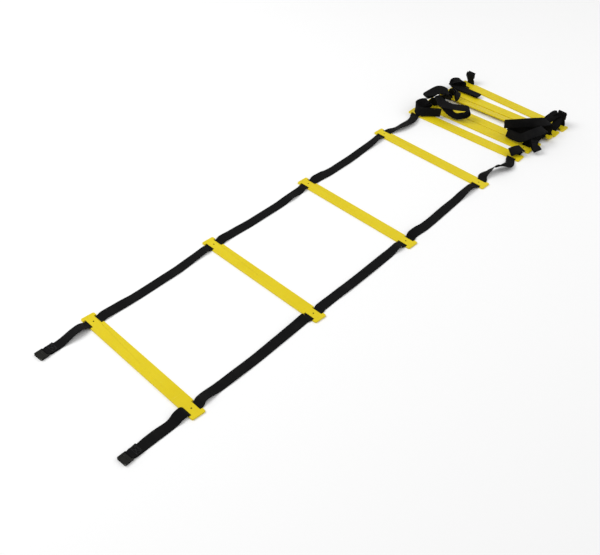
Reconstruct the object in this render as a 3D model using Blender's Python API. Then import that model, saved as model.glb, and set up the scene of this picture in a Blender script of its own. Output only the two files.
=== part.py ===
"""Agility ladder: ten flat rungs threaded on two side straps, four rungs spread
on the floor and six gathered at the far end.

Metres, +Z up, +X along the ladder towards the gathered end, +Y to the left.
The floor is z = 0. Every rung is a flat plate with, at each end, a bridge
between two cross slots; the strap lies over the low edge strips and under the
bridge.
"""

import math

import bmesh
import bpy
import numpy as np
from mathutils import Matrix, Vector

# ---------------------------------------------------------------- dimensions
ORIGIN = (0.7551, 0.0069, 0.0)  # middle of the whole ladder in layout coordinates

RUNG_LENGTH = 0.420
RUNG_WIDTH = 0.039
RUNG_THICK = 0.0044
RUNG_CORNER = 0.0045
SLOT_Y = 0.183  # middle of a strap passage, from the middle of the rung
PASSAGE = 0.0310  # length of a slot along the rung
BRIDGE = 0.025  # width of the bridge, across the rung
SLOT = 0.003  # width of each slot
STRIP_THICK = 0.0009
BRIDGE_THICK = 0.0014
BRIDGE_HOLE_R = 0.0021

WEB_WIDTH = 0.0275
WEB_AT_BAR = 0.0238  # width where it is drawn together round a web bar
WEB_THICK = 0.0015
STRAP_Z = 0.00195  # middle of the strap's thickness where it passes a rung
GAP = 0.0003  # clearance between neighbouring pieces

# layout of the rungs: middle x, middle y, turn about Z, tilt that lifts the near edge
RUNGS = (
    (0.0000, 0.0000, -0.0715, 0.0),
    (0.4180, 0.0041, -0.0454, 0.0),
    (0.8188, 0.0089, -0.0336, 0.0),
    (1.2092, 0.0176, -0.0257, 0.0),
    (1.4100, 0.0180, 0.0260, 0.0),
    (1.4743, 0.0200, 0.0260, 0.0),
    (1.5158, 0.0150, 0.0300, 0.0),
    (1.5810, 0.0100, 0.0550, 0.24),
    (1.6260, 0.0080, 0.0400, 0.0),
    (1.6900, 0.0040, -0.0300, 0.0),
)
RUNG_TRAVEL = (0.008, 0.008, 0.008, 0.008)  # room kept in front of rungs 1 to 4 for sliding on the strap
RUNG_BACK = (0.0, 0.008, 0.008, 0.008)  # backward travel of the same rungs

BUCKLE_WIDTH = 0.027
BUCKLE_THICK = 0.0066
BAR_R = 0.0013
BAR_LOOP_R = BAR_R + GAP + WEB_THICK / 2  # the webbing's middle line round a web bar
SLOT_FAR = 0.0047  # web bar middle to the far wall of its strap slot
SOCKET_REACH = 0.024  # web bar middle to socket mouth

YELLOW = (0.80, 0.63, 0.03)
BLACK_WEB = (0.011, 0.011, 0.012)
BLACK_PLASTIC = (0.022, 0.022, 0.019)


# ---------------------------------------------------------------- helpers
def clear_scene():
    for obj in list(bpy.data.objects):
        bpy.data.objects.remove(obj, do_unlink=True)


def material(name, colour, roughness):
    made = bpy.data.materials.new(name)
    made.use_nodes = True
    shader = made.node_tree.nodes["Principled BSDF"]
    shader.inputs["Base Color"].default_value = (*colour, 1.0)
    shader.inputs["Roughness"].default_value = roughness
    shader.inputs["Metallic"].default_value = 0.0
    return made


def add_object(name, mesh, look, parent=None):
    obj = bpy.data.objects.new(name, mesh)
    bpy.context.scene.collection.objects.link(obj)
    mesh.materials.clear()
    mesh.materials.append(look)
    if parent is not None:
        obj.parent = parent
        obj.matrix_parent_inverse = parent.matrix_world.inverted()
    return obj


def pivot(name, x, y, z, parent=None):
    """An empty on a joint axis, in layout coordinates."""
    empty = bpy.data.objects.new(name, None)
    empty.empty_display_size = 0.02
    bpy.context.scene.collection.objects.link(empty)
    empty.location = (x - ORIGIN[0], y - ORIGIN[1], z - ORIGIN[2])
    bpy.context.view_layer.update()
    if parent is not None:
        empty.parent = parent
        empty.matrix_parent_inverse = parent.matrix_world.inverted()
        bpy.context.view_layer.update()
    return empty


def box_mesh(name, low, high):
    mesh = bpy.data.meshes.new(name)
    bm = bmesh.new()
    bmesh.ops.create_cube(bm, size=1.0)
    for vert in bm.verts:
        for i in range(3):
            vert.co[i] = low[i] + (vert.co[i] + 0.5) * (high[i] - low[i])
    bm.to_mesh(mesh)
    bm.free()
    return mesh


def prism_mesh(name, outline, low, high, axis="y"):
    """Extrude a closed outline: (x, z) points along Y, or (x, y) points along Z."""
    mesh = bpy.data.meshes.new(name)
    bm = bmesh.new()
    rows = []
    for level in (low, high):
        if axis == "y":
            rows.append([bm.verts.new((u, level, v)) for u, v in outline])
        else:
            rows.append([bm.verts.new((u, v, level)) for u, v in outline])
    count = len(outline)
    bm.faces.new(rows[0])
    bm.faces.new(rows[1])
    for i in range(count):
        j = (i + 1) % count
        bm.faces.new((rows[0][i], rows[0][j], rows[1][j], rows[1][i]))
    bmesh.ops.recalc_face_normals(bm, faces=bm.faces)
    bm.to_mesh(mesh)
    bm.free()
    return mesh


def rounded_rectangle(half_x, half_y, radius, steps):
    points = []
    for cx, cy, start in (
        (half_x - radius, half_y - radius, 0.0),
        (-half_x + radius, half_y - radius, 0.5 * math.pi),
        (-half_x + radius, -half_y + radius, math.pi),
        (half_x - radius, -half_y + radius, 1.5 * math.pi),
    ):
        for i in range(steps + 1):
            angle = start + 0.5 * math.pi * i / steps
            points.append((cx + radius * math.cos(angle), cy + radius * math.sin(angle)))
    return points


def cylinder_mesh(name, radius, low, high, x, y, sides=16):
    outline = [
        (x + radius * math.cos(2 * math.pi * i / sides), y + radius * math.sin(2 * math.pi * i / sides))
        for i in range(sides)
    ]
    return prism_mesh(name, outline, low, high, axis="z")


def evaluated_mesh(base, name, cutters=(), unions=()):
    """The base mesh after its unions and its cuts."""
    helper = bpy.data.objects.new(name + "_blank", base)
    bpy.context.scene.collection.objects.link(helper)
    others = []
    for kind, meshes in (("UNION", unions), ("DIFFERENCE", cutters)):
        for i, mesh in enumerate(meshes):
            other = bpy.data.objects.new(f"{name}_{kind.lower()}_{i}", mesh)
            other.hide_render = True
            other.display_type = "WIRE"
            bpy.context.scene.collection.objects.link(other)
            others.append(other)
            step = helper.modifiers.new(f"{kind.lower()}_{i}", "BOOLEAN")
            step.operation = kind
            step.solver = "EXACT"
            step.object = other
    bpy.context.view_layer.update()
    graph = bpy.context.evaluated_depsgraph_get()
    mesh = bpy.data.meshes.new_from_object(helper.evaluated_get(graph))
    mesh.name = name
    for other in others:
        bpy.data.objects.remove(other, do_unlink=True)
    bpy.data.objects.remove(helper, do_unlink=True)
    return mesh


def smooth_rows(rows, steps):
    """A smooth curve through every row (centripetal), with this many steps a span."""
    rows = np.asarray(rows, float)
    ends = np.vstack([2 * rows[0] - rows[1], rows, 2 * rows[-1] - rows[-2]])
    made = []
    for i in range(1, len(ends) - 2):
        p = ends[i - 1 : i + 3]
        t = [0.0]
        for a, b in zip(p[:-1], p[1:]):
            t.append(t[-1] + max(np.linalg.norm((b - a)[:3]) ** 0.5, 1e-4))
        for u in np.linspace(t[1], t[2], steps, endpoint=False):
            a1 = (t[1] - u) / (t[1] - t[0]) * p[0] + (u - t[0]) / (t[1] - t[0]) * p[1]
            a2 = (t[2] - u) / (t[2] - t[1]) * p[1] + (u - t[1]) / (t[2] - t[1]) * p[2]
            a3 = (t[3] - u) / (t[3] - t[2]) * p[2] + (u - t[2]) / (t[3] - t[2]) * p[3]
            b1 = (t[2] - u) / (t[2] - t[0]) * a1 + (u - t[0]) / (t[2] - t[0]) * a2
            b2 = (t[3] - u) / (t[3] - t[1]) * a2 + (u - t[1]) / (t[3] - t[1]) * a3
            made.append((t[2] - u) / (t[2] - t[1]) * b1 + (u - t[1]) / (t[2] - t[1]) * b2)
    made.append(ends[-2])
    return np.array(made)


def frames(rows, start=None, end=None):
    """Middle line, direction, width direction and face direction at each row."""
    middle, across = rows[:, :3], rows[:, 3:6]
    ahead = np.gradient(middle, axis=0)
    if start is not None:
        ahead[0] = start
    if end is not None:
        ahead[-1] = end
    ahead /= np.linalg.norm(ahead, axis=1)[:, None]
    across = across - (across * ahead).sum(1)[:, None] * ahead
    across /= np.linalg.norm(across, axis=1)[:, None]
    return middle, ahead, across, np.cross(ahead, across)


def eased(corners):
    """Rings of four corners, moved along until none reaches past the next one at a tight bend."""
    for _ in range(200):
        run = np.diff(corners.mean(axis=1), axis=0)
        length = np.linalg.norm(run, axis=1)
        steps = np.einsum("ijk,ik->ij", np.diff(corners, axis=0), run / length[:, None])
        tight = np.flatnonzero(steps.min(axis=1) < 0.15 * length)
        near = sorted({i + d for i in tight for d in (-1, 0, 1, 2) if 0 < i + d < len(corners) - 1})
        if not near:
            break
        moved = corners.copy()
        for i in near:
            moved[i] = (corners[i - 1] + 2 * corners[i] + corners[i + 1]) / 4
        corners = moved
    return corners


def strap_mesh(name, rows, start=None, end=None):
    """A closed strap through rows of x, y, z, width direction, thickness, width.

    start and end square its two end faces to a direction.
    """
    rows = np.asarray(rows, float)
    middle, _, across, face = frames(rows, start, end)
    mesh = bpy.data.meshes.new(name)
    bm = bmesh.new()
    corners = []
    for c, w, n, row in zip(middle, across, face, rows):
        thick, width = row[6] / 2, row[7] / 2
        corners.append([c + w * width * a + n * thick * b for a, b in ((1, 1), (-1, 1), (-1, -1), (1, -1))])
    rings = [[bm.verts.new(tuple(point - np.array(ORIGIN))) for point in ring] for ring in eased(np.array(corners))]
    bm.faces.new(rings[0])
    bm.faces.new(rings[-1])
    for one, two in zip(rings[:-1], rings[1:]):
        for i in range(4):
            j = (i + 1) % 4
            bm.faces.new((one[i], one[j], two[j], two[i]))
    bmesh.ops.triangulate(bm, faces=bm.faces)
    bmesh.ops.recalc_face_normals(bm, faces=bm.faces)
    bm.to_mesh(mesh)
    bm.free()
    return mesh


def rung_matrix(number):
    """The rung's own frame: tilt about its far lower edge, then turn, then place."""
    x, y, turn, tilt = RUNGS[number - 1]
    far_edge = Matrix.Translation((RUNG_WIDTH / 2, 0, 0))
    return (
        Matrix.Translation((x - ORIGIN[0], y - ORIGIN[1], -ORIGIN[2]))
        @ Matrix.Rotation(turn, 4, "Z")
        @ far_edge
        @ Matrix.Rotation(tilt, 4, "Y")
        @ far_edge.inverted()
    )


def on_rung(number, across, along, up):
    """A point in a rung's own frame, in layout coordinates."""
    point = rung_matrix(number) @ Vector((across, along, up))
    return np.array(point) + np.array(ORIGIN)


def rung_line(number):
    """Direction of the rung's length."""
    turn = RUNGS[number - 1][2]
    return np.array((-math.sin(turn), math.cos(turn), 0.0))


def passage(number, side):
    """Middle x and y of the strap passage at one end of a rung; side is +1 left, -1 right."""
    point = on_rung(number, 0.0, side * SLOT_Y, 0.0)
    return point[0], point[1]


def row(x, y, z, w=(0, 1, 0), thick=WEB_THICK, width=WEB_WIDTH):
    return [x, y, z, *w, thick, width]


# ---------------------------------------------------------------- rungs
def rung_mesh():
    half = RUNG_WIDTH / 2
    plate = prism_mesh(
        "rung_plate",
        rounded_rectangle(half, RUNG_LENGTH / 2, RUNG_CORNER, 4),
        0.0,
        RUNG_THICK,
        axis="z",
    )
    inner, outer, out = BRIDGE / 2, BRIDGE / 2 + SLOT, RUNG_WIDTH
    below, above = -0.01, 0.02
    roof = RUNG_THICK - BRIDGE_THICK
    outline = [
        (-out, STRIP_THICK), (-outer, STRIP_THICK), (-outer, below), (outer, below),
        (outer, STRIP_THICK), (out, STRIP_THICK), (out, above), (inner, above),
        (inner, roof), (-inner, roof), (-inner, above), (-out, above),
    ]
    cutters = []
    for side in (1, -1):
        middle = side * SLOT_Y
        cutters.append(
            prism_mesh(f"passage_{side}", outline, middle - PASSAGE / 2, middle + PASSAGE / 2)
        )
        cutters.append(cylinder_mesh(f"hole_{side}", BRIDGE_HOLE_R, 0.001, 0.02, 0.0, middle))
    return evaluated_mesh(plate, "rung", cutters=cutters)


# ---------------------------------------------------------------- straps
STATION_MARGIN = 0.0025
PIVOT_UP = 0.008  # height of the fold lines beside the rungs
PIVOT_DOWN = -0.003  # height of the fold line in the middle of a bay


def fold_lines():
    """For rungs 1 to 5: x of the fold line on the near side and on the far side."""
    lines = []
    for number in range(1, 6):
        x, _, turn, _ = RUNGS[number - 1]
        reach = RUNG_WIDTH / 2 + abs(math.sin(turn)) * SLOT_Y + STATION_MARGIN
        if number == 5:
            lines.append((x - reach - 0.001, x + reach))
        else:
            lines.append(
                (x - reach - RUNG_BACK[number - 1], x + reach + RUNG_TRAVEL[number - 1])
            )
    return lines


# distances from a strap passage at which an open bay's strap is given, at both ends
BAY_FROM = (0.030, 0.038, 0.050, 0.065, 0.085, 0.120)
# for those, and for one third, half and two thirds of the bay in between: sideways
# drift in mm from the straight line, height in mm and roll (left edge up) in radians
BAYS = {
    (1, 1): (
        (-0.7, 4.1, 0.07), (-1.1, 4.5, 0.10), (-1.5, 4.0, 0.12), (-2.2, 3.1, 0.15), (-3.2, 2.5, 0.15),
        (-4.2, 1.0, 0.04), (-4.6, 1.0, 0.03), (-4.6, 1.3, 0.02), (-4.7, 1.0, 0.04), (-3.4, 0.9, 0.03),
        (-0.7, 1.8, -0.05), (0.4, 2.3, -0.10), (1.2, 3.0, -0.12), (1.5, 4.1, -0.14), (1.7, 4.5, -0.14),
    ),
    (1, -1): (
        (1.6, 5.4, -0.08), (2.8, 5.9, -0.14), (3.3, 5.2, -0.13), (2.8, 3.6, -0.08), (1.9, 1.1, 0.03),
        (1.0, 1.9, 0.02), (0.6, 1.9, 0.03), (-0.1, 1.5, 0.06), (1.3, 1.7, 0.11), (1.6, 1.7, 0.13),
        (2.3, 1.0, 0.20), (2.7, 1.3, 0.24), (2.9, 2.0, 0.29), (2.9, 3.2, 0.35), (2.8, 4.2, 0.37),
    ),
    (2, 1): (
        (-0.3, 4.4, 0.11), (-0.3, 4.8, 0.13), (-0.4, 3.8, 0.14), (-1.0, 2.8, 0.12), (-1.8, 2.0, 0.11),
        (-3.7, 0.9, 0.08), (-4.3, 0.9, 0.07), (-5.0, 0.9, 0.03), (-5.8, 1.0, 0.06), (-5.2, 1.1, 0.06),
        (-3.7, 4.4, -0.13), (-3.2, 3.1, 0.00), (-2.7, 1.3, 0.07), (-1.7, 2.9, -0.07), (-1.0, 4.0, -0.15),
    ),
    (2, -1): (
        (0.9, 2.6, 0.15), (1.1, 2.5, 0.14), (1.4, 2.0, 0.13), (1.5, 1.7, 0.10), (1.6, 1.9, 0.06),
        (0.8, 2.9, 0.05), (0.4, 2.8, 0.05), (0.5, 2.4, 0.07), (1.2, 2.1, 0.11), (1.5, 2.0, 0.12),
        (2.2, 1.0, 0.09), (3.2, 1.6, -0.02), (3.7, 4.4, -0.18), (3.8, 6.3, -0.24), (3.7, 5.8, -0.18),
    ),
    (3, 1): (
        (-2.0, 5.0, 0.33), (-2.5, 5.4, 0.36), (-3.4, 5.4, 0.35), (-4.6, 5.6, 0.28), (-6.2, 3.4, 0.17),
        (-6.8, 1.0, 0.06), (-6.8, 0.9, 0.06), (-7.4, 0.9, 0.07), (-4.2, 0.9, -0.00), (-4.1, 1.0, -0.02),
        (-3.2, 3.2, -0.11), (-1.8, 4.6, -0.21), (-0.7, 5.4, -0.27), (-0.0, 6.2, -0.29), (0.4, 5.7, -0.22),
    ),
    (3, -1): (
        (0.5, 5.8, 0.50), (0.3, 6.2, 0.56), (0.0, 5.5, 0.57), (-0.6, 4.3, 0.46), (-1.5, 1.7, 0.26),
        (-1.3, 1.0, 0.16), (-1.2, 1.0, 0.15), (0.9, 1.4, 0.13), (3.0, 1.3, 0.01), (3.3, 1.4, -0.02),
        (4.4, 4.7, -0.18), (5.2, 6.0, -0.29), (5.2, 6.3, -0.30), (4.4, 6.4, -0.24), (2.6, 5.2, -0.12),
    ),
}
FLOOR_Z = 0.0009  # middle of a strap that lies on the floor

# the short last bay, whose straps are twisted: x, y, z, width direction
LAST_BAY = {
    1: (
        (1.2420, 0.1980, 0.0040, 0, 1, -0.05),
        (1.2685, 0.1896, 0.0070, 0, 1, -0.38),
        (1.3037, 0.1831, 0.0090, 0, 1, -0.15),
        (1.3368, 0.1823, 0.0080, 0, 1, -0.1),
        (1.3640, 0.1895, 0.0058, 0, 1, -0.05),
    ),
    -1: (
        (1.2424, -0.1566, 0.0060, 0, 1, -0.15),
        (1.2710, -0.1593, 0.0110, 0, 1, -0.7),
        (1.2948, -0.1656, 0.0140, 0, 1, -1.35),
        (1.3215, -0.1747, 0.0140, 0.1, 1, -0.5),
        (1.3484, -0.1792, 0.0110, 0.2, 1, 0.2),
        (1.3690, -0.1725, 0.0060, 0.1, 1, 0.05),
    ),
}


def in_passage(number, side, offset):
    """A row of the strap under a rung's bridge, this far along X from the passage's middle."""
    x, y = passage(number, side)
    return row(x + offset, y + math.tan(RUNGS[number - 1][2]) * offset, STRAP_Z, rung_line(number))


def calm(rows, folds, up):
    """Level and low beside the fold lines, where two stretches of strap turn against each other."""
    made = rows.copy()
    for fold in folds:
        free = np.clip((np.abs(made[:, 0] - fold) - 0.005) / 0.006, 0.0, 1.0)
        made[:, 3:6] = made[:, 3:6] * free[:, None] + np.array((0, 1, 0)) * (1 - free)[:, None]
        made[:, 2] = np.minimum(made[:, 2], up - 0.0010 + 0.02 * free)
    return made


def bay_rows(bay, side, steps=5):
    """The strap of one open bay from the middle of one passage to the middle of the next."""
    x0, y0 = passage(bay, side)
    x1, y1 = passage(bay + 1, side)
    rows = [in_passage(bay, side, d) for d in (0.0, 0.0120, 0.0205)]
    if bay == 4:
        rows += [row(p[0], p[1], p[2], p[3:6]) for p in LAST_BAY[side]]
    else:
        span = x1 - x0
        offsets = BAY_FROM + (span / 3, span / 2, span * 2 / 3) + tuple(span - d for d in BAY_FROM[::-1])
        for offset, (drift, height, roll) in zip(offsets, BAYS[(bay, side)]):
            z = max(height / 1000, FLOOR_Z + WEB_WIDTH / 2 * abs(math.sin(roll)))
            y = y0 + (y1 - y0) * offset / span + drift / 1000
            rows.append(row(x0 + offset, y, z, (0, math.cos(roll), math.sin(roll))))
    rows += [in_passage(bay + 1, side, d) for d in (-0.0205, -0.0120, 0.0)]
    made = smooth_rows(rows, steps)
    # the width stays square to the strap's run, seen from above
    flat = np.gradient(made[:, :2], axis=0)
    flat /= np.linalg.norm(flat, axis=1)[:, None]
    level = np.linalg.norm(made[:, 3:5], axis=1)
    made[:, 3], made[:, 4] = -flat[:, 1] * level, flat[:, 0] * level
    low = np.full(len(made), FLOOR_Z)
    low[(made[:, 0] < x0 + 0.030) | (made[:, 0] > x1 - 0.030)] = STRAP_Z
    made[:, 2] = np.maximum(made[:, 2], low + WEB_WIDTH / 2 * np.abs(made[:, 5]))
    # flat where a rung may slide over it
    under = (made[:, 0] < x0 + 0.0206) | (made[:, 0] > x1 - 0.0206)
    made[under, 2] = STRAP_Z
    made[under, 5] = 0.0
    lines = fold_lines()
    return calm(made, (lines[bay - 1][1], lines[bay][0]), PIVOT_UP)


def cut_rows(rows, low, high, margin=0.0015):
    """The rows between two x values, with an exact row at each."""
    xs = rows[:, 0]

    def at(x):
        i = int(np.clip(np.searchsorted(xs, x) - 1, 0, len(xs) - 2))
        part = (x - xs[i]) / (xs[i + 1] - xs[i])
        return rows[i] * (1 - part) + rows[i + 1] * part

    inside = [r for r in rows if low + margin < r[0] < high - margin]
    return np.array([at(low), *inside, at(high)])


# near tails: x, y, z and roll from the slot of rung 1 to just before the web bar
TAILS = {
    1: (
        (-0.0020, 0.1825, 0.0021, 0.0), (-0.0060, 0.1826, 0.0038, 0.0), (-0.0110, 0.1827, 0.0056, -0.03),
        (-0.0169, 0.1827, 0.0087, -0.06), (-0.0229, 0.1827, 0.0109, -0.10), (-0.0309, 0.1827, 0.0117, -0.15),
        (-0.0389, 0.1825, 0.0115, -0.17), (-0.0489, 0.1823, 0.0103, -0.18), (-0.0619, 0.1818, 0.0074, -0.16),
        (-0.0769, 0.1813, 0.0036, -0.09), (-0.0870, 0.1811, 0.0017, -0.03), (-0.0960, 0.1810, 0.0011, 0.0),
        (-0.1120, 0.1810, 0.0010, 0.0),
    ),
    -1: (
        (-0.0264, -0.1816, 0.0021, 0.0), (-0.0279, -0.1818, 0.0034, 0.04), (-0.0292, -0.1820, 0.0058, 0.10),
        (-0.0316, -0.1821, 0.0086, 0.23), (-0.0365, -0.1824, 0.0107, 0.38),
        (-0.0431, -0.1825, 0.0114, 0.48), (-0.0491, -0.1825, 0.0109, 0.46), (-0.0571, -0.1825, 0.0085, 0.33),
        (-0.0640, -0.1825, 0.0042, 0.17), (-0.0700, -0.1825, 0.0021, 0.07), (-0.0781, -0.1825, 0.0012, 0.02),
        (-0.0900, -0.1825, 0.0017, 0.05), (-0.1031, -0.1825, 0.0027, 0.12), (-0.1200, -0.1823, 0.0031, 0.15),
        (-0.1430, -0.1821, 0.0026, 0.11), (-0.1580, -0.1820, 0.0013, 0.02), (-0.1760, -0.1820, 0.0010, 0.0),
    ),
}
BAR_X = {1: -0.1273, -1: -0.1896}
TAIL_FOLD_X = {1: -0.0100, -1: -0.0362}
TAIL_FOLD_UP = {1: 0.0080, -1: 0.0115}  # height of the fold line of each near tail
FOLD_BACK = 0.028  # length of the webbing folded back over the strap at a bar


def bar_y(side):
    return TAILS[side][-1][1]


def tail_rows(side, steps=4):
    """From the middle of rung 1's passage out of its near slot, round the web bar and back."""
    rows = [in_passage(1, side, d) for d in (0.0, -0.0060, -0.0115)]
    for x, y, z, roll in TAILS[side]:
        rows.append(row(x, y, z, (0, math.cos(roll), math.sin(roll))))
    bar = (BAR_X[side], bar_y(side), BUCKLE_THICK / 2)
    low = bar[2] - BAR_LOOP_R
    rows.append(row(bar[0] + 0.0070, bar[1], low))
    rows = calm(smooth_rows(rows, steps), (TAIL_FOLD_X[side],), TAIL_FOLD_UP[side]).tolist()
    rows.append(row(bar[0] + 0.0050, bar[1], low, width=WEB_WIDTH - 0.0008))
    rows.append(row(bar[0] + 0.0022, bar[1], low, width=WEB_AT_BAR))
    for i in range(9):
        angle = -0.5 * math.pi - math.pi * i / 8
        rows.append(
            row(
                bar[0] + BAR_LOOP_R * math.cos(angle),
                bar[1],
                bar[2] + BAR_LOOP_R * math.sin(angle),
                width=WEB_AT_BAR,
            )
        )
    top = bar[2] + BAR_LOOP_R
    for dx, dy, z, width in (
        (0.0022, 0.0, top - 0.0001, WEB_AT_BAR), (0.0050, 0.0001, top - 0.0005, WEB_WIDTH - 0.0008),
        (0.0085, 0.0002, top - 0.0011, WEB_WIDTH), (0.0140, 0.0004, top - 0.0017, WEB_WIDTH),
        (0.0210, 0.0007, top - 0.0016, WEB_WIDTH), (FOLD_BACK, 0.0010, top - 0.0008, WEB_WIDTH),
    ):
        rows.append(row(bar[0] + dx, bar[1] + dy, z, width=width))
    return np.array(rows)


# ---------------------------------------------------------------- gathered loops
# each doubled loop: middle line x, y, z, width direction, half of its thickness in mm
LOOPS = {
    (5, 1): (
        (1.4490, 0.1910, 0.0270, -0.1, 1, 0.2, 3),
        (1.4263, 0.2049, 0.0320, -0.2, 0.5, 0.85, 3),
        (1.3982, 0.2071, 0.0290, 0.2, 0.2, 1, 3),
        (1.3882, 0.1887, 0.0220, 0.3, 0.1, 1, 3),
        (1.4143, 0.1579, 0.0210, 0.2, 0, 1, 3),
        (1.4345, 0.1351, 0.0200, 0.1, 0, 1, 3),
    ),
    (6, 1): (
        (1.4851, 0.1824, 0.0240, 0.2, 1, 0.1, 3),
        (1.4771, 0.1752, 0.0360, 0.5, 0.8, 0.4, 4),
        (1.4630, 0.1479, 0.0380, 0.7, 0.5, 0.5, 7),
        (1.4517, 0.1080, 0.0370, 0.83, 0.47, 0.3, 15),
        (1.4598, 0.0832, 0.0350, 0.83, 0.47, 0.3, 21),
        (1.4760, 0.0681, 0.0350, 0.83, 0.47, 0.3, 18),
    ),
    (7, 1): (
        (1.5152, 0.1572, 0.0420, 0.1, 1, 0.2, 4),
        (1.5127, 0.1742, 0.0530, 0.3, 0.8, 0.5, 4),
        (1.4985, 0.1938, 0.0560, 0.5, 0.5, 0.7, 5),
        (1.4722, 0.2031, 0.0490, 0.7, 0.5, 0.4, 6),
        (1.4575, 0.2104, 0.0440, 0.85, 0.5, 0.1, 6),
    ),
    (8, 1): (
        (1.5835, 0.1667, 0.0280, 0.1, 1, 0.2, 3),
        (1.5627, 0.1526, 0.0300, 0.3, 0.6, 0.7, 3),
        (1.5463, 0.1480, 0.0260, 0.3, 0.3, 0.9, 3),
    ),
    (9, 1): (
        (1.6581, 0.1941, 0.0260, 0, 1, 0.1, 4),
        (1.6405, 0.2126, 0.0290, 0.4, 0.9, 0.1, 4),
        (1.6309, 0.2194, 0.0220, 0.8, 0.6, 0.1, 3),
        (1.6356, 0.1936, 0.0140, 1, 0.3, 0.1, 2),
        (1.6415, 0.1470, 0.0115, 1, 0.1, 0, 2),
        (1.6427, 0.1106, 0.0110, 1, 0, 0, 2),
    ),
    (5, -1): (
        (1.4401, -0.1720, 0.0200, 0.2, 1, 0.2, 4),
        (1.4200, -0.1649, 0.0220, 0.4, 0.8, 0.5, 3),
        (1.4029, -0.1559, 0.0180, 0.5, 0.5, 0.7, 3),
    ),
    (6, -1): (
        (1.5149, -0.1793, 0.0240, 0.1, 1, 0.2, 4),
        (1.4921, -0.1862, 0.0260, 0.6, 0.7, 0.3, 4),
        (1.4841, -0.1979, 0.0200, 0.9, 0.4, 0.3, 4),
        (1.4795, -0.2109, 0.0150, 1, 0.2, 0.4, 3),
    ),
    (7, -1): (
        (1.5659, -0.1800, 0.0380, 0.1, 1, 0.2, 4),
        (1.5209, -0.1762, 0.0500, 0.5, 0.6, 0.6, 4),
        (1.4919, -0.1645, 0.0460, 0.4, 0.4, 0.8, 4),
        (1.4853, -0.1436, 0.0280, 0.3, 0.2, 1, 4),
        (1.4888, -0.1134, 0.0220, 0.3, 0.2, 1, 4),
        (1.4942, -0.0917, 0.0210, 0.3, 0.1, 1, 4),
    ),
    (8, -1): (
        (1.6147, -0.1716, 0.0380, 0.1, 1, 0, 4),
        (1.5842, -0.1618, 0.0540, 0.4, 0.6, 0.7, 4),
        (1.5428, -0.1360, 0.0580, 0.2, 0.2, 1, 4),
        (1.5096, -0.1042, 0.0540, 0.1, 0.1, 1, 4),
        (1.4877, -0.0789, 0.0500, 0, 0.1, 1, 4),
    ),
    (9, -1): (
        (1.6777, -0.1750, 0.0360, 0.1, 1, 0, 4),
        (1.6768, -0.1620, 0.0440, 0.3, 0.8, 0.5, 4),
        (1.6584, -0.1524, 0.0340, 0.4, 0.5, 0.7, 4),
        (1.5891, -0.1508, 0.0300, 0.2, 0.2, 1, 4),
        (1.5287, -0.1227, 0.0260, 0.2, 0.1, 1, 4),
        (1.5109, -0.0848, 0.0240, 0.1, 0, 1, 4),
    ),
}
LOOP_WIDTH = 0.0262  # the loop solid is a little narrower than its webbing
LOOP_TRIM = 0.0010


def loop_rows(number, side):
    """One solid: under the far rung's bridge, out of its near slot and along the doubled loop."""
    far = number + 1
    along = side * SLOT_Y
    line = rung_line(far)
    lead = []
    for across, up in (
        (0.0118, STRAP_Z), (0.0, STRAP_Z), (-0.0118, STRAP_Z), (-0.0150, STRAP_Z + 0.0010), (-0.0182, 0.0062),
    ):
        lead.append(row(*on_rung(far, across, along, up), w=line))
    lead.append(row(*on_rung(far, -0.0202, along, 0.0130), w=line, thick=0.0055, width=LOOP_WIDTH))
    body = []
    for x, y, z, wx, wy, wz, half in LOOPS[(number, side)]:
        w = np.array((wx, wy, wz), float)
        w /= np.linalg.norm(w)
        body.append(row(x, y, z, w=w, thick=2 * half / 1000 + WEB_THICK - LOOP_TRIM, width=LOOP_WIDTH))
    return np.vstack([lead[:2], smooth_rows(lead[2:] + body, 4)])


# ---------------------------------------------------------------- far tails
# far tails: across, up and along (outwards to the left) from the last rung's far slot
# to just before the plug's web bar
FAR_TAILS = {
    1: (
        (0.0122, STRAP_Z, 0.0), (0.0143, STRAP_Z + 0.0010, 0.0), (0.0158, 0.0065, 0.0), (0.0150, 0.0160, 0.0030),
        (0.0122, 0.0260, 0.0065), (0.0108, 0.0330, 0.0090), (0.0128, 0.0392, 0.0090), (0.0175, 0.0408, 0.0090),
        (0.0208, 0.0380, 0.0090), (0.02213, 0.0345, 0.0090),
    ),
    -1: (
        (0.0122, STRAP_Z, 0.0), (0.0143, STRAP_Z + 0.0010, 0.0), (0.0158, 0.0065, 0.0), (0.0150, 0.0160, 0.0020),
        (0.0120, 0.0290, 0.0045), (0.0105, 0.0420, 0.0065), (0.0128, 0.0495, 0.0065), (0.0172, 0.0500, 0.0065),
        (0.0206, 0.0430, 0.0065), (0.02213, 0.0345, 0.0065),
    ),
}
PLUG_BAR = (0.0245, 0.0316)  # across and up from the last rung's middle


def plug_bar(side):
    return on_rung(10, PLUG_BAR[0], side * SLOT_Y + FAR_TAILS[side][-1][2], PLUG_BAR[1])


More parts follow.
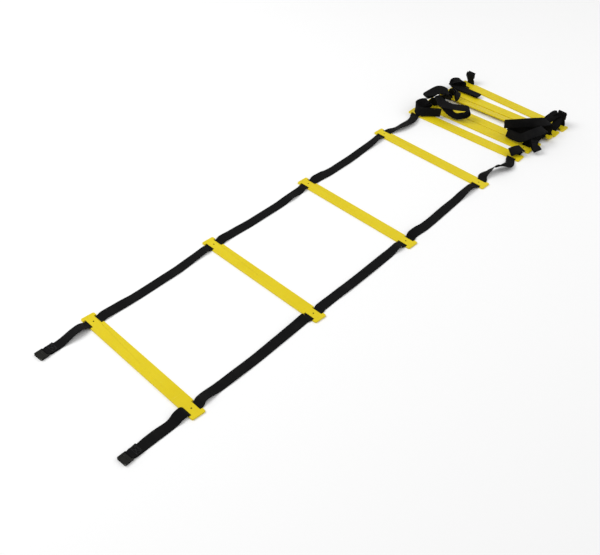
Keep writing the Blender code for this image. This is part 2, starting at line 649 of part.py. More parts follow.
def far_tail_rows(side):
    """Out of the last rung's far slot, up, over and down round the plug's web bar."""
    middle = side * SLOT_Y
    line = rung_line(10)
    rows = []
    for across, up, along in FAR_TAILS[side]:
        width = WEB_AT_BAR if across > 0.0212 else WEB_WIDTH
        rows.append(row(*on_rung(10, across, middle + along, up), w=line, width=width))
    rows = smooth_rows(rows, 3).tolist()
    along = middle + FAR_TAILS[side][-1][2]
    across0, up0 = PLUG_BAR
    for i in range(9):
        angle = math.pi + math.pi * i / 8
        around = (across0 + BAR_LOOP_R * math.cos(angle), along, up0 + BAR_LOOP_R * math.sin(angle))
        rows.append(row(*on_rung(10, *around), w=line, width=WEB_AT_BAR))
    for across, up, width in (
        (across0 + BAR_LOOP_R, up0 + 0.0025, WEB_AT_BAR), (across0 + 0.0020, up0 + 0.0060, WEB_WIDTH),
        (across0 + 0.0010, up0 + 0.0095, WEB_WIDTH),
    ):
        rows.append(row(*on_rung(10, across, along, up), w=line, width=width))
    return rows


# ---------------------------------------------------------------- buckles
def web_end_cutters(name):
    """The strap slot round a web bar; the bar's middle line is the local Y axis."""
    half = WEB_AT_BAR / 2 + 0.0003
    cutters = []
    for sign in (1, -1):
        outline = [(-0.01, 0.0)]
        for i in range(7):
            angle = math.pi - math.pi * i / 6
            outline.append((BAR_R * math.cos(angle), sign * BAR_R * math.sin(angle)))
        outline += [(SLOT_FAR, 0.0), (SLOT_FAR, sign * 0.02), (-0.01, sign * 0.02)]
        cutters.append(prism_mesh(f"{name}_bar_{sign}", outline, -half, half))
    return cutters


def socket_mesh():
    """Local X runs from the web bar to the mouth, Z is the thickness."""
    half_w, half_t = BUCKLE_WIDTH / 2, BUCKLE_THICK / 2
    shell = prism_mesh(
        "socket_shell",
        [(u + (SOCKET_REACH - BAR_R) / 2, v) for u, v in rounded_rectangle((SOCKET_REACH + BAR_R) / 2, half_w, 0.0016, 3)],
        -half_t,
        half_t,
        axis="z",
    )
    cutters = web_end_cutters("socket")
    # pocket for the plug, side windows and the shallow panel on the top face
    cutters.append(box_mesh("pocket", (0.0078, -0.0095, -0.0018), (0.04, 0.0095, 0.0018)))
    cutters.append(box_mesh("windows", (0.0120, -0.03, -0.0018), (0.0185, 0.03, 0.0018)))
    cutters.append(box_mesh("panel", (0.0108, -0.0092, half_t - 0.0009), (0.04, 0.0092, 0.02)))
    # the bar end is thinner than the body, above and below
    for sign in (1, -1):
        low, high = sorted((sign * 0.0016, sign * 0.02))
        cutters.append(box_mesh(f"bar_relief_{sign}", (-0.01, -0.03, low), (BAR_R + 0.0006, 0.03, high)))
    return evaluated_mesh(shell, "socket", cutters=cutters)


def plug_mesh():
    """Local X runs from the web bar to the tip; two side prongs and a middle guide."""
    half_w = BUCKLE_WIDTH / 2
    upper = [
        (0.0110, half_w), (0.0118, 0.0115), (0.0190, 0.0094), (0.0200, 0.0115), (0.0222, 0.0113),
        (0.0295, 0.0089), (0.0303, 0.0071), (0.0160, 0.0066), (0.0140, 0.0046), (0.0140, 0.0020),
        (0.0285, 0.0017), (0.0293, 0.0008),
    ]
    outline = [(-BAR_R, half_w)] + upper + [(x, -y) for x, y in reversed(upper)] + [(-BAR_R, -half_w)]
    comb = prism_mesh("plug_comb", outline[::-1], -0.0015, 0.0015, axis="z")
    body = box_mesh("plug_body", (0.0050, -half_w + 0.0004, -0.0027), (0.0112, half_w - 0.0004, 0.0027))
    return evaluated_mesh(comb, "plug", cutters=web_end_cutters("plug"), unions=[body])


# ---------------------------------------------------------------- assembly
def main():
    clear_scene()
    looks = {
        "rung": material("rung_plastic", YELLOW, 0.38),
        "webbing": material("black_webbing", BLACK_WEB, 0.85),
        "buckle": material("buckle_plastic", BLACK_PLASTIC, 0.42),
    }
    names = {1: "left", -1: "right"}
    lines = fold_lines()

    # everything hangs from the straps at rung 3; the bays fold away from it on both sides
    root = pivot("rung_03_straps", RUNGS[2][0], RUNGS[2][1], 0.0)
    stations = {3: root}
    for bay in (2, 1, 3, 4):
        start, end = lines[bay - 1][1], lines[bay][0]
        middle = (start + end) / 2
        if bay < 3:
            far = pivot(f"bay_{bay}_far_fold", end, 0.0, PIVOT_UP, stations[bay + 1])
            crest = pivot(f"bay_{bay}_middle_fold", middle, 0.0, PIVOT_DOWN, far)
            near = pivot(f"bay_{bay}_near_fold", start, 0.0, PIVOT_UP, crest)
            stations[bay] = near
            near_carrier, far_carrier = crest, far
        else:
            near = pivot(f"bay_{bay}_near_fold", start, 0.0, PIVOT_UP, stations[bay])
            crest = pivot(f"bay_{bay}_middle_fold", middle, 0.0, PIVOT_DOWN, near)
            far = pivot(f"bay_{bay}_far_fold", end, 0.0, PIVOT_UP, crest)
            stations[bay + 1] = far
            near_carrier, far_carrier = near, crest
        for side in (1, -1):
            rows = bay_rows(bay, side)
            tag = f"{bay}_{bay + 1}"
            square = ((1, 0, 0), (1, 0, 0))
            margin = 0.0050 if bay == 4 else 0.0015  # the last bay's straps run askew
            half = strap_mesh("webbing", cut_rows(rows, start + GAP / 2, middle - GAP / 2, margin), *square)
            add_object(f"strap_bay_{tag}_near_{names[side]}", half, looks["webbing"], near_carrier)
            half = strap_mesh("webbing", cut_rows(rows, middle + GAP / 2, end - GAP / 2, margin), *square)
            add_object(f"strap_bay_{tag}_far_{names[side]}", half, looks["webbing"], far_carrier)
    gathered = pivot("gathered_end", RUNGS[4][0], RUNGS[4][1], 0.0, stations[5])

    # strap held at rungs 1 to 5, from fold line to fold line
    for number in range(1, 6):
        for side in (1, -1):
            low = TAIL_FOLD_X[side] if number == 1 else lines[number - 1][0]
            high = lines[number - 1][1]
            before = tail_rows(side)[::-1] if number == 1 else bay_rows(number - 1, side)
            middle_x = passage(number, side)[0]
            if number == 1:
                before = before[before[:, 0] > TAIL_FOLD_X[side] - 0.01]
            if number == 5:
                high = middle_x + BRIDGE / 2
                after = np.array([in_passage(5, side, 0.0), in_passage(5, side, 0.0150)])
            else:
                after = bay_rows(number, side)
            margin = 0.0050 if number > 3 else 0.0015
            rows = np.vstack([cut_rows(before, low + GAP / 2, middle_x, margin)[:-1], cut_rows(after, middle_x, high - GAP / 2, margin)])
            add_object(
                f"strap_at_rung_{number:02d}_{names[side]}",
                strap_mesh("webbing", rows, (1, 0, 0), (1, 0, 0)),
                looks["webbing"],
                stations[number],
            )

    # rungs: 1 to 4 slide on the straps, 5 stays with the gathered end, 6 to 10 slide in turn
    plate = rung_mesh()
    carriers = {}
    for number in range(1, 11):
        x, y, _, _ = RUNGS[number - 1]
        if number < 5:
            carrier = pivot(f"rung_{number:02d}_slide", x, y, 0.0, stations[number])
        elif number == 5:
            carrier = gathered
        else:
            carrier = pivot(f"rung_{number:02d}_slide", x, y, 0.0, carriers[number - 1])
        carriers[number] = carrier
        obj = bpy.data.objects.new(f"rung_{number:02d}", plate)
        bpy.context.scene.collection.objects.link(obj)
        obj.parent = carrier
        obj.matrix_parent_inverse = carrier.matrix_world.inverted()
        obj.matrix_basis = rung_matrix(number)
    plate.materials.clear()
    plate.materials.append(looks["rung"])

    # doubled loops between the gathered rungs
    for number, side in LOOPS:
        add_object(
            f"strap_loop_{number}_{number + 1}_{names[side]}",
            strap_mesh("webbing", loop_rows(number, side)),
            looks["webbing"],
            carriers[number + 1],
        )

    # near tails with their sockets
    socket = socket_mesh()
    for side in (1, -1):
        fold = pivot(f"near_tail_fold_{names[side]}", TAIL_FOLD_X[side], passage(1, side)[1], TAIL_FOLD_UP[side], stations[1])
        rows = tail_rows(side)
        first = int(np.argmax(rows[:, 0] < TAIL_FOLD_X[side] - 0.001))
        share = (TAIL_FOLD_X[side] - GAP / 2 - rows[first - 1, 0]) / (rows[first, 0] - rows[first - 1, 0])
        cut = rows[first - 1] * (1 - share) + rows[first] * share
        add_object(f"near_tail_strap_{names[side]}", strap_mesh("webbing", np.vstack([cut, rows[first:]]), (-1, 0, 0)), looks["webbing"], fold)
        swivel = pivot(f"socket_swivel_{names[side]}", BAR_X[side], bar_y(side), BUCKLE_THICK / 2, fold)
        obj = bpy.data.objects.new(f"buckle_socket_{names[side]}", socket)
        bpy.context.scene.collection.objects.link(obj)
        obj.parent = swivel
        obj.matrix_parent_inverse = swivel.matrix_world.inverted()
        obj.matrix_basis = Matrix.Translation(
            (BAR_X[side] - ORIGIN[0], bar_y(side) - ORIGIN[1], BUCKLE_THICK / 2)
        ) @ Matrix.Rotation(math.pi, 4, "Z")
    socket.materials.clear()
    socket.materials.append(looks["buckle"])

    # far tails with their plugs, standing behind the last rung
    plug = plug_mesh()
    for side in (1, -1):
        add_object(f"far_tail_strap_{names[side]}", strap_mesh("webbing", far_tail_rows(side)), looks["webbing"], carriers[10])
        swivel = pivot(f"plug_swivel_{names[side]}", *plug_bar(side), carriers[10])
        obj = bpy.data.objects.new(f"buckle_plug_{names[side]}", plug)
        bpy.context.scene.collection.objects.link(obj)
        obj.parent = swivel
        obj.matrix_parent_inverse = swivel.matrix_world.inverted()
        bar = plug_bar(side)
        obj.matrix_basis = (
            Matrix.Translation(Vector(bar) - Vector(ORIGIN))
            @ Matrix.Rotation(RUNGS[9][2], 4, "Z")
            @ Matrix.Rotation(math.pi / 2, 4, "Y")
        )
    plug.materials.clear()
    plug.materials.append(looks["buckle"])
    bpy.context.view_layer.update()


main()
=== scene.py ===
import math

import bmesh
import bpy
import numpy as np
from mathutils import Matrix, Vector


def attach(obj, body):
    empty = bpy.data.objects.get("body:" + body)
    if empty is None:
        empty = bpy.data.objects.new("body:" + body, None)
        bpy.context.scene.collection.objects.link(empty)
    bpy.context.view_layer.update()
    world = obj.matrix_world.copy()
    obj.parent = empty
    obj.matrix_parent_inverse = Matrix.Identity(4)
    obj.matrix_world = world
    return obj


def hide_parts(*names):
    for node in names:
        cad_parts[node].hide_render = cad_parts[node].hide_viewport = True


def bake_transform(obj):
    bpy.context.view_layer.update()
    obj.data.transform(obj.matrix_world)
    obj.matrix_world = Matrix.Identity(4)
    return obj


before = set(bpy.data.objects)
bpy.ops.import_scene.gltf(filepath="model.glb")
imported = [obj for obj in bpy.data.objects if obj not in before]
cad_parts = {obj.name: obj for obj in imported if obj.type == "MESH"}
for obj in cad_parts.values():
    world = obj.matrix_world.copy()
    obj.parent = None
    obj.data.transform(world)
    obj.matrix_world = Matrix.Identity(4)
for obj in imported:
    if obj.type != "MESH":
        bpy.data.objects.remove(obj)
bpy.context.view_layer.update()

# ---------------------------------------------------------------- layout, as in the CAD
ORIGIN = (0.7551, 0.0069, 0.0)
RUNG_LENGTH, RUNG_WIDTH, RUNG_THICK, RUNG_CORNER = 0.420, 0.039, 0.0044, 0.0045
SLOT_Y, PASSAGE, BRIDGE, SLOT = 0.183, 0.0310, 0.025, 0.003
STRIP_THICK, BRIDGE_THICK, BRIDGE_HOLE_R = 0.0009, 0.0014, 0.0021
WEB_WIDTH, WEB_THICK, STRAP_Z, FLOOR_Z = 0.0275, 0.0015, 0.00195, 0.0009
WEB_AT_BAR = 0.0238
GAP = 0.0003
RUNGS = (
    (0.0000, 0.0000, -0.0715, 0.0),
    (0.4180, 0.0041, -0.0454, 0.0),
    (0.8188, 0.0089, -0.0336, 0.0),
    (1.2092, 0.0176, -0.0257, 0.0),
    (1.4100, 0.0180, 0.0260, 0.0),
    (1.4743, 0.0200, 0.0260, 0.0),
    (1.5158, 0.0150, 0.0300, 0.0),
    (1.5810, 0.0100, 0.0550, 0.24),
    (1.6260, 0.0080, 0.0400, 0.0),
    (1.6900, 0.0040, -0.0300, 0.0),
)
RUNG_TRAVEL = (0.008, 0.008, 0.008, 0.008)
RUNG_BACK = (0.0, 0.008, 0.008, 0.008)
BUCKLE_WIDTH, BUCKLE_THICK, BAR_R = 0.027, 0.0066, 0.0013
BAR_LOOP_R = BAR_R + GAP + WEB_THICK / 2
SLOT_FAR, SOCKET_REACH = 0.0047, 0.024
STATION_MARGIN, PIVOT_UP, PIVOT_DOWN = 0.0025, 0.008, -0.003
NAMES = {1: "left", -1: "right"}


def at(point):
    """Layout coordinates to the row frame."""
    return np.asarray(point, float) - np.array(ORIGIN)


def rung_matrix(number):
    x, y, turn, tilt = RUNGS[number - 1]
    far_edge = Matrix.Translation((RUNG_WIDTH / 2, 0, 0))
    return (
        Matrix.Translation((x - ORIGIN[0], y - ORIGIN[1], -ORIGIN[2]))
        @ Matrix.Rotation(turn, 4, "Z")
        @ far_edge
        @ Matrix.Rotation(tilt, 4, "Y")
        @ far_edge.inverted()
    )


def on_rung(number, across, along, up):
    return np.array(rung_matrix(number) @ Vector((across, along, up))) + np.array(ORIGIN)


def rung_line(number):
    turn = RUNGS[number - 1][2]
    return np.array((-math.sin(turn), math.cos(turn), 0.0))


def passage(number, side):
    point = on_rung(number, 0.0, side * SLOT_Y, 0.0)
    return point[0], point[1]


def rung_body(number):
    if number < 5:
        return f"rung_{number:02d}_plate"
    return "gathered_end" if number == 5 else f"rung_{number:02d}_gathered"


# ---------------------------------------------------------------- camera
TARGET = (0.4919, -0.0640, 0.0)
CAM_AZ, CAM_EL, CAM_DIST, CAM_ROLL = -2.48396, 0.71818, 2.3212, 0.08398
out = Vector((math.cos(CAM_EL) * math.cos(CAM_AZ), math.cos(CAM_EL) * math.sin(CAM_AZ), math.sin(CAM_EL)))
side_x = Vector((0, 0, 1)).cross(out).normalized()
side_y = out.cross(side_x)
cam_x = side_x * math.cos(CAM_ROLL) + side_y * math.sin(CAM_ROLL)
cam_y = side_y * math.cos(CAM_ROLL) - side_x * math.sin(CAM_ROLL)
cam_data = bpy.data.cameras.new("camera")
cam_data.sensor_fit = "HORIZONTAL"
cam_data.sensor_width = 36.0
cam_data.lens = 889.18 / 600 * 36
cam_data.clip_start, cam_data.clip_end = 0.05, 50
camera = bpy.data.objects.new("camera", cam_data)
bpy.context.scene.collection.objects.link(camera)
place = Matrix((cam_x, cam_y, out)).transposed().to_4x4()
place.translation = Vector(at(TARGET)) + out * CAM_DIST
camera.matrix_world = place
bpy.context.scene.camera = camera


# ---------------------------------------------------------------- materials
def new_material(name):
    made = bpy.data.materials.new(name)
    made.use_nodes = True
    tree = made.node_tree
    return made, tree, tree.nodes["Principled BSDF"]


class Nodes:
    """Short calls for building a node tree."""

    def __init__(self, tree):
        self.tree = tree

    def node(self, kind, inputs=None, **settings):
        made = self.tree.nodes.new(kind)
        for key, value in settings.items():
            setattr(made, key, value)
        for key, value in (inputs or {}).items():
            self.put(made.inputs[key], value)
        return made

    def put(self, socket, value):
        if isinstance(value, bpy.types.NodeSocket):
            self.tree.links.new(value, socket)
        else:
            socket.default_value = value

    def math(self, operation, a, b=None, c=None, clamp=False):
        made = self.tree.nodes.new("ShaderNodeMath")
        made.operation = operation
        made.use_clamp = clamp
        for i, value in enumerate((a, b, c)):
            if value is not None:
                self.put(made.inputs[i], value)
        return made.outputs[0]

    def ramp(self, fac, *stops):
        made = self.tree.nodes.new("ShaderNodeValToRGB")
        self.put(made.inputs["Fac"], fac)
        band = made.color_ramp
        while len(band.elements) > 1:
            band.elements.remove(band.elements[-1])
        for i, (position, colour) in enumerate(stops):
            element = band.elements[0] if i == 0 else band.elements.new(position)
            element.position = position
            if not isinstance(colour, tuple):
                colour = (colour, colour, colour)
            element.color = (*colour, 1.0)
        return made.outputs["Color"]

    def remap(self, value, a, b, c, d):
        made = self.tree.nodes.new("ShaderNodeMapRange")
        self.put(made.inputs["Value"], value)
        for key, number in (("From Min", a), ("From Max", b), ("To Min", c), ("To Max", d)):
            made.inputs[key].default_value = number
        return made.outputs["Result"]

    def noise(self, vector, scale, detail=3.0, rough=0.55, lacunarity=2.0):
        made = self.node(
            "ShaderNodeTexNoise",
            {"Vector": vector, "Scale": scale, "Detail": detail, "Roughness": rough, "Lacunarity": lacunarity},
        )
        return made.outputs[0]

    def mix(self, fac, a, b, kind="MIX"):
        made = self.tree.nodes.new("ShaderNodeMix")
        made.data_type = "RGBA"
        made.blend_type = kind
        self.put(made.inputs["Factor"], fac)
        self.put(made.inputs[6], a if isinstance(a, bpy.types.NodeSocket) else (*a, 1.0))
        self.put(made.inputs[7], b if isinstance(b, bpy.types.NodeSocket) else (*b, 1.0))
        return made.outputs[2]

    def bump(self, height, strength, distance, normal=None):
        made = self.tree.nodes.new("ShaderNodeBump")
        made.inputs["Strength"].default_value = strength
        made.inputs["Distance"].default_value = distance
        self.put(made.inputs["Height"], height)
        if normal is not None:
            self.put(made.inputs["Normal"], normal)
        return made.outputs["Normal"]


YELLOW = (0.80, 0.63, 0.03)


def rung_material():
    """Semi-gloss moulded plastic: fine grain, soft mottling, faint drag marks and dulled patches."""
    made, tree, shader = new_material("rung_plastic_look")
    n = Nodes(tree)
    where = n.node("ShaderNodeTexCoord").outputs["Object"]
    info = n.node("ShaderNodeObjectInfo").outputs["Random"]
    shift = n.node("ShaderNodeVectorMath", {0: where}, operation="ADD")
    spread = n.node("ShaderNodeCombineXYZ", {"X": n.math("MULTIPLY", info, 3.7), "Y": n.math("MULTIPLY", info, 9.1), "Z": 0.0})
    n.put(shift.inputs[1], spread.outputs[0])
    spot = shift.outputs[0]

    broad = n.noise(spot, 9.0, 2.0)
    cloud = n.noise(spot, 55.0, 3.0)
    colour = n.mix(n.remap(broad, 0.35, 0.65, 0.0, 1.0), (0.700, 0.545, 0.005), (0.728, 0.578, 0.010))
    colour = n.mix(n.remap(cloud, 0.40, 0.70, 0.0, 0.35), colour, (0.662, 0.520, 0.004))

    # flow lines of the moulding along the length
    stretch = n.node("ShaderNodeMapping", {"Vector": spot, "Scale": (190.0, 7.0, 60.0)}, vector_type="POINT")
    flow = n.noise(stretch.outputs[0], 1.0, 2.0)
    colour = n.mix(n.remap(flow, 0.5, 0.8, 0.0, 0.16), colour, (0.79, 0.645, 0.022))

    # drag marks across the top, and grime in small specks
    drag = n.node("ShaderNodeMapping", {"Vector": spot, "Rotation": (0.0, 0.0, 0.5), "Scale": (16.0, 620.0, 10.0)}, vector_type="POINT")
    scratch = n.noise(drag.outputs[0], 1.0, 1.0)
    scratch = n.math("MULTIPLY", n.remap(scratch, 0.66, 0.72, 0.0, 1.0), n.remap(cloud, 0.52, 0.66, 0.0, 1.0), clamp=True)
    colour = n.mix(n.math("MULTIPLY", scratch, 0.30), colour, (0.80, 0.69, 0.15))
    specks = n.node("ShaderNodeTexVoronoi", {"Vector": spot, "Scale": 210.0}, feature="F1").outputs["Distance"]
    specks = n.math("MULTIPLY", n.remap(specks, 0.10, 0.04, 0.0, 1.0), n.remap(broad, 0.50, 0.62, 0.0, 1.0), clamp=True)
    colour = n.mix(n.math("MULTIPLY", specks, 0.40), colour, (0.34, 0.26, 0.03))
    n.put(shader.inputs["Base Color"], colour)

    grain = n.noise(spot, 2300.0, 2.0)
    rough = n.remap(cloud, 0.3, 0.7, 0.33, 0.45)
    rough = n.math("ADD", rough, n.math("MULTIPLY", scratch, 0.15))
    rough = n.math("ADD", rough, n.remap(grain, 0.3, 0.7, -0.02, 0.02))
    n.put(shader.inputs["Roughness"], rough)
    ripple = n.noise(spot, 34.0, 1.0)
    normal = n.bump(ripple, 0.30, 0.0004)
    normal = n.bump(grain, 0.30, 0.00012, normal)
    normal = n.bump(n.math("MULTIPLY", scratch, -1.0), 0.4, 0.0001, normal)
    n.put(shader.inputs["Normal"], normal)
    shader.inputs["IOR"].default_value = 1.47
    shader.inputs["Specular IOR Level"].default_value = 0.24
    shader.inputs["Subsurface Weight"].default_value = 0.12
    shader.inputs["Subsurface Radius"].default_value = (0.0030, 0.0022, 0.0005)
    shader.inputs["Subsurface Scale"].default_value = 0.6
    return made


def webbing_material():
    """Ribbed black webbing: rows of short raised floats, the next row half a step on."""
    made, tree, shader = new_material("black_webbing_look")
    n = Nodes(tree)
    uv = n.node("ShaderNodeUVMap", uv_map="UVMap").outputs[0]
    parts = n.node("ShaderNodeSeparateXYZ", {0: uv})
    u, v = parts.outputs[0], parts.outputs[1]
    columns = n.math("MULTIPLY", u, 15 / WEB_WIDTH)
    column = n.math("FLOOR", columns)
    inside = n.math("FRACT", columns)
    odd = n.math("MULTIPLY", n.math("FRACT", n.math("MULTIPLY", column, 0.5)), 1.0)  # 0 or 0.5
    wander = n.math("MULTIPLY", n.noise(uv, 90.0, 2.0), 0.6)
    steps = n.math("ADD", n.math("ADD", n.math("MULTIPLY", v, 1 / 0.0034), odd), wander)
    step = n.math("FRACT", steps)
    rib = n.math("SINE", n.math("MULTIPLY", inside, math.pi))
    rib = n.math("POWER", n.math("ABSOLUTE", rib), 0.6)
    bead = n.math("SINE", n.math("MULTIPLY", step, math.pi))
    bead = n.math("POWER", n.math("ABSOLUTE", bead), 0.5)
    weave = n.math("MULTIPLY", rib, n.math("ADD", n.math("MULTIPLY", bead, 0.7), 0.3))

    # plain woven edges, about 1 mm wide
    edge = n.math("MINIMUM", u, n.math("SUBTRACT", WEB_WIDTH, u))
    selvedge = n.remap(edge, 0.0007, 0.0013, 1.0, 0.0)
    turns = n.math("ABSOLUTE", n.math("SINE", n.math("MULTIPLY", v, math.pi / 0.0011)))
    weave = n.node("ShaderNodeMix", {0: selvedge, 2: weave, 3: n.math("MULTIPLY", turns, 0.7)}, data_type="FLOAT").outputs[0]

    # fibres along each float
    slant = n.node("ShaderNodeMapping", {"Vector": uv, "Scale": (14000.0, 900.0, 1.0)}, vector_type="POINT")
    fibre = n.noise(slant.outputs[0], 1.0, 1.0)
    height = n.math("ADD", weave, n.math("MULTIPLY", fibre, 0.14))
    slack = n.noise(uv, 70.0, 2.0)
    n.put(shader.inputs["Normal"], n.bump(height, 0.85, 0.00042, n.bump(slack, 0.25, 0.0008)))

    wear = n.noise(n.node("ShaderNodeTexCoord").outputs["Object"], 26.0, 3.0)
    # painted shade: the hollows between the floats are coloured darker than the float tops
    colour = n.mix(weave, (0.0018, 0.0018, 0.0020), (0.0062, 0.0061, 0.0064))
    colour = n.mix(n.math("MULTIPLY", fibre, 0.35), colour, (0.0105, 0.0102, 0.0105))
    dust = n.math("MULTIPLY", n.remap(wear, 0.50, 0.72, 0.0, 1.0), weave)
    colour = n.mix(n.math("MULTIPLY", dust, 0.16), colour, (0.036, 0.034, 0.030))
    fuzz = n.math("MULTIPLY", selvedge, n.remap(wear, 0.45, 0.6, 0.0, 0.25))
    colour = n.mix(fuzz, colour, (0.027, 0.027, 0.028))
    n.put(shader.inputs["Base Color"], colour)
    rough = n.math("SUBTRACT", 0.80, n.math("MULTIPLY", weave, 0.20))
    n.put(shader.inputs["Roughness"], rough)
    shader.inputs["Specular IOR Level"].default_value = 0.05
    shader.inputs["Sheen Weight"].default_value = 0.006
    shader.inputs["Sheen Roughness"].default_value = 0.45
    shader.inputs["Sheen Tint"].default_value = (0.75, 0.78, 0.85, 1.0)
    return made


def thread_material():
    made, tree, shader = new_material("black_thread_look")
    n = Nodes(tree)
    where = n.node("ShaderNodeTexCoord").outputs["Object"]
    twist = n.node("ShaderNodeMapping", {"Vector": where, "Rotation": (0.0, 0.0, 0.7), "Scale": (3200.0, 500.0, 900.0)}, vector_type="POINT")
    ply = n.noise(twist.outputs[0], 1.0, 1.0)
    n.put(shader.inputs["Base Color"], n.mix(ply, (0.010, 0.010, 0.011), (0.034, 0.034, 0.036)))
    n.put(shader.inputs["Roughness"], n.remap(ply, 0.3, 0.7, 0.42, 0.60))
    n.put(shader.inputs["Normal"], n.bump(ply, 0.6, 0.0001))
    shader.inputs["Sheen Weight"].default_value = 0.05
    return made


def buckle_material():
    """Satin black plastic with a spark-eroded grain; its rounded edges are painted paler, a painted highlight standing
    in for their glints.
    """
    made, tree, shader = new_material("buckle_plastic_look")
    n = Nodes(tree)
    where = n.node("ShaderNodeTexCoord").outputs["Object"]
    # the rounded edges are the faces square to none of the buckle's own axes
    flat = n.node("ShaderNodeNewGeometry").outputs["True Normal"]
    flat = n.node("ShaderNodeVectorTransform", {0: flat}, vector_type="NORMAL", convert_from="WORLD", convert_to="OBJECT").outputs[0]
    parts = n.node("ShaderNodeSeparateXYZ", {0: flat}).outputs
    most = n.math("MAXIMUM", n.math("ABSOLUTE", parts[0]), n.math("ABSOLUTE", parts[1]))
    most = n.math("MAXIMUM", most, n.math("ABSOLUTE", parts[2]))
    cloud = n.noise(where, 160.0, 3.0)
    grain = n.noise(where, 4200.0, 2.0)
    # painted highlight: the rounded edges are coloured pale grey, patchy by the cloud noise
    painted_edge_glint = n.remap(most, 0.99, 0.93, 0.0, 1.0)
    painted_edge_glint = n.math("MULTIPLY", painted_edge_glint, n.remap(cloud, 0.35, 0.6, 0.35, 1.0), clamp=True)
    colour = n.mix(cloud, (0.0065, 0.0064, 0.0052), (0.0100, 0.0098, 0.0080))
    colour = n.mix(n.math("MULTIPLY", painted_edge_glint, 0.80), colour, (0.240, 0.235, 0.210))
    n.put(shader.inputs["Base Color"], colour)
    rough = n.math("ADD", n.remap(cloud, 0.3, 0.7, 0.34, 0.46), n.remap(grain, 0.3, 0.7, -0.03, 0.03))
    n.put(shader.inputs["Roughness"], rough)
    n.put(shader.inputs["Normal"], n.bump(grain, 0.35, 0.00010, n.bump(cloud, 0.15, 0.0002)))
    shader.inputs["IOR"].default_value = 1.50
    shader.inputs["Specular IOR Level"].default_value = 0.14
    return made


LOOK_RUNG = rung_material()
LOOK_WEB = webbing_material()
LOOK_THREAD = thread_material()
LOOK_BUCKLE = buckle_material()


# ---------------------------------------------------------------- mesh helpers
def link(name, mesh, look):
    obj = bpy.data.objects.new(name, mesh)
    bpy.context.scene.collection.objects.link(obj)
    mesh.materials.clear()
    mesh.materials.append(look)
    return obj


def prism_mesh(name, outline, low, high, axis="z"):
    mesh = bpy.data.meshes.new(name)
    bm = bmesh.new()
    rows = []
    for level in (low, high):
        if axis == "y":
            rows.append([bm.verts.new((u, level, v)) for u, v in outline])
        elif axis == "x":
            rows.append([bm.verts.new((level, u, v)) for u, v in outline])
        else:
            rows.append([bm.verts.new((u, v, level)) for u, v in outline])
    count = len(outline)
    bm.faces.new(rows[0])
    bm.faces.new(rows[1])
    for i in range(count):
        j = (i + 1) % count
        bm.faces.new((rows[0][i], rows[0][j], rows[1][j], rows[1][i]))
    bmesh.ops.recalc_face_normals(bm, faces=bm.faces)
    bm.to_mesh(mesh)
    bm.free()
    return mesh


def box_mesh(name, low, high):
    return prism_mesh(name, [(low[0], low[1]), (high[0], low[1]), (high[0], high[1]), (low[0], high[1])], low[2], high[2])


def rounded_rectangle(half_x, half_y, radius, steps):
    points = []
    for cx, cy, start in (
        (half_x - radius, half_y - radius, 0.0),
        (-half_x + radius, half_y - radius, 0.5 * math.pi),
        (-half_x + radius, -half_y + radius, math.pi),
        (half_x - radius, -half_y + radius, 1.5 * math.pi),
    ):
        for i in range(steps + 1):
            angle = start + 0.5 * math.pi * i / steps
            points.append((cx + radius * math.cos(angle), cy + radius * math.sin(angle)))
    return points


def circle(x, y, radius, sides):
    return [
        (x + radius * math.cos(2 * math.pi * i / sides), y + radius * math.sin(2 * math.pi * i / sides))
        for i in range(sides)
    ]


def carved(name, base, cutters=(), unions=(), bevels=()):
    """base after unions and cuts, then rounded: bevels are (test, width, segments) on edges."""
    helper = bpy.data.objects.new(name + "_blank", base)
    bpy.context.scene.collection.objects.link(helper)
    others = []
    for kind, meshes in (("UNION", unions), ("DIFFERENCE", cutters)):
        for i, mesh in enumerate(meshes):
            other = bpy.data.objects.new(f"{name}_{kind.lower()}_{i}", mesh)
            bpy.context.scene.collection.objects.link(other)
            others.append(other)
            step = helper.modifiers.new(f"{kind.lower()}_{i}", "BOOLEAN")
            step.operation = kind
            step.solver = "EXACT"
            step.object = other
    bpy.context.view_layer.update()
    graph = bpy.context.evaluated_depsgraph_get()
    mesh = bpy.data.meshes.new_from_object(helper.evaluated_get(graph))
    for other in others:
        bpy.data.objects.remove(other, do_unlink=True)
    bpy.data.objects.remove(helper, do_unlink=True)
    if bevels:
        bm = bmesh.new()
        bm.from_mesh(mesh)
        bmesh.ops.remove_doubles(bm, verts=bm.verts, dist=1e-6)
        bmesh.ops.dissolve_limit(bm, angle_limit=math.radians(1.0), verts=bm.verts, edges=bm.edges)
        most = max(width for _, width, _ in bevels)
        layer = bm.edges.layers.float.get("bevel_weight_edge") or bm.edges.layers.float.new("bevel_weight_edge")
        for edge in bm.edges:
            if len(edge.link_faces) != 2 or edge.calc_face_angle(0.0) < math.radians(28):
                continue
            middle = (edge.verts[0].co + edge.verts[1].co) / 2
            for test, width, _ in bevels:
                if test(middle, edge):
                    edge[layer] = width / most
                    break
        bm.to_mesh(mesh)
        bm.free()
        helper = bpy.data.objects.new(name + "_bevel", mesh)
        bpy.context.scene.collection.objects.link(helper)
        step = helper.modifiers.new("bevel", "BEVEL")
        step.limit_method = "WEIGHT"
        step.width = most
        step.segments = bevels[0][2]
        step.profile = 0.5
        step.harden_normals = False
        step.use_clamp_overlap = True
        step.miter_outer = "MITER_ARC"
        bpy.context.view_layer.update()
        graph = bpy.context.evaluated_depsgraph_get()
        rounded = bpy.data.meshes.new_from_object(helper.evaluated_get(graph))
        bpy.data.objects.remove(helper, do_unlink=True)
        mesh = rounded
    mesh.name = name
    return mesh


def finish_hard(mesh, angle=40):
    """Smooth shading with edges past the angle kept sharp, so flats stay flat and rounded edges shine."""
    for polygon in mesh.polygons:
        polygon.use_smooth = True
    mesh.set_sharp_from_angle(angle=math.radians(angle))
    return mesh


def weigh_normals(obj):
    step = obj.modifiers.new("weighted", "WEIGHTED_NORMAL")
    step.mode = "FACE_AREA"
    step.weight = 80
    step.keep_sharp = True
    return obj


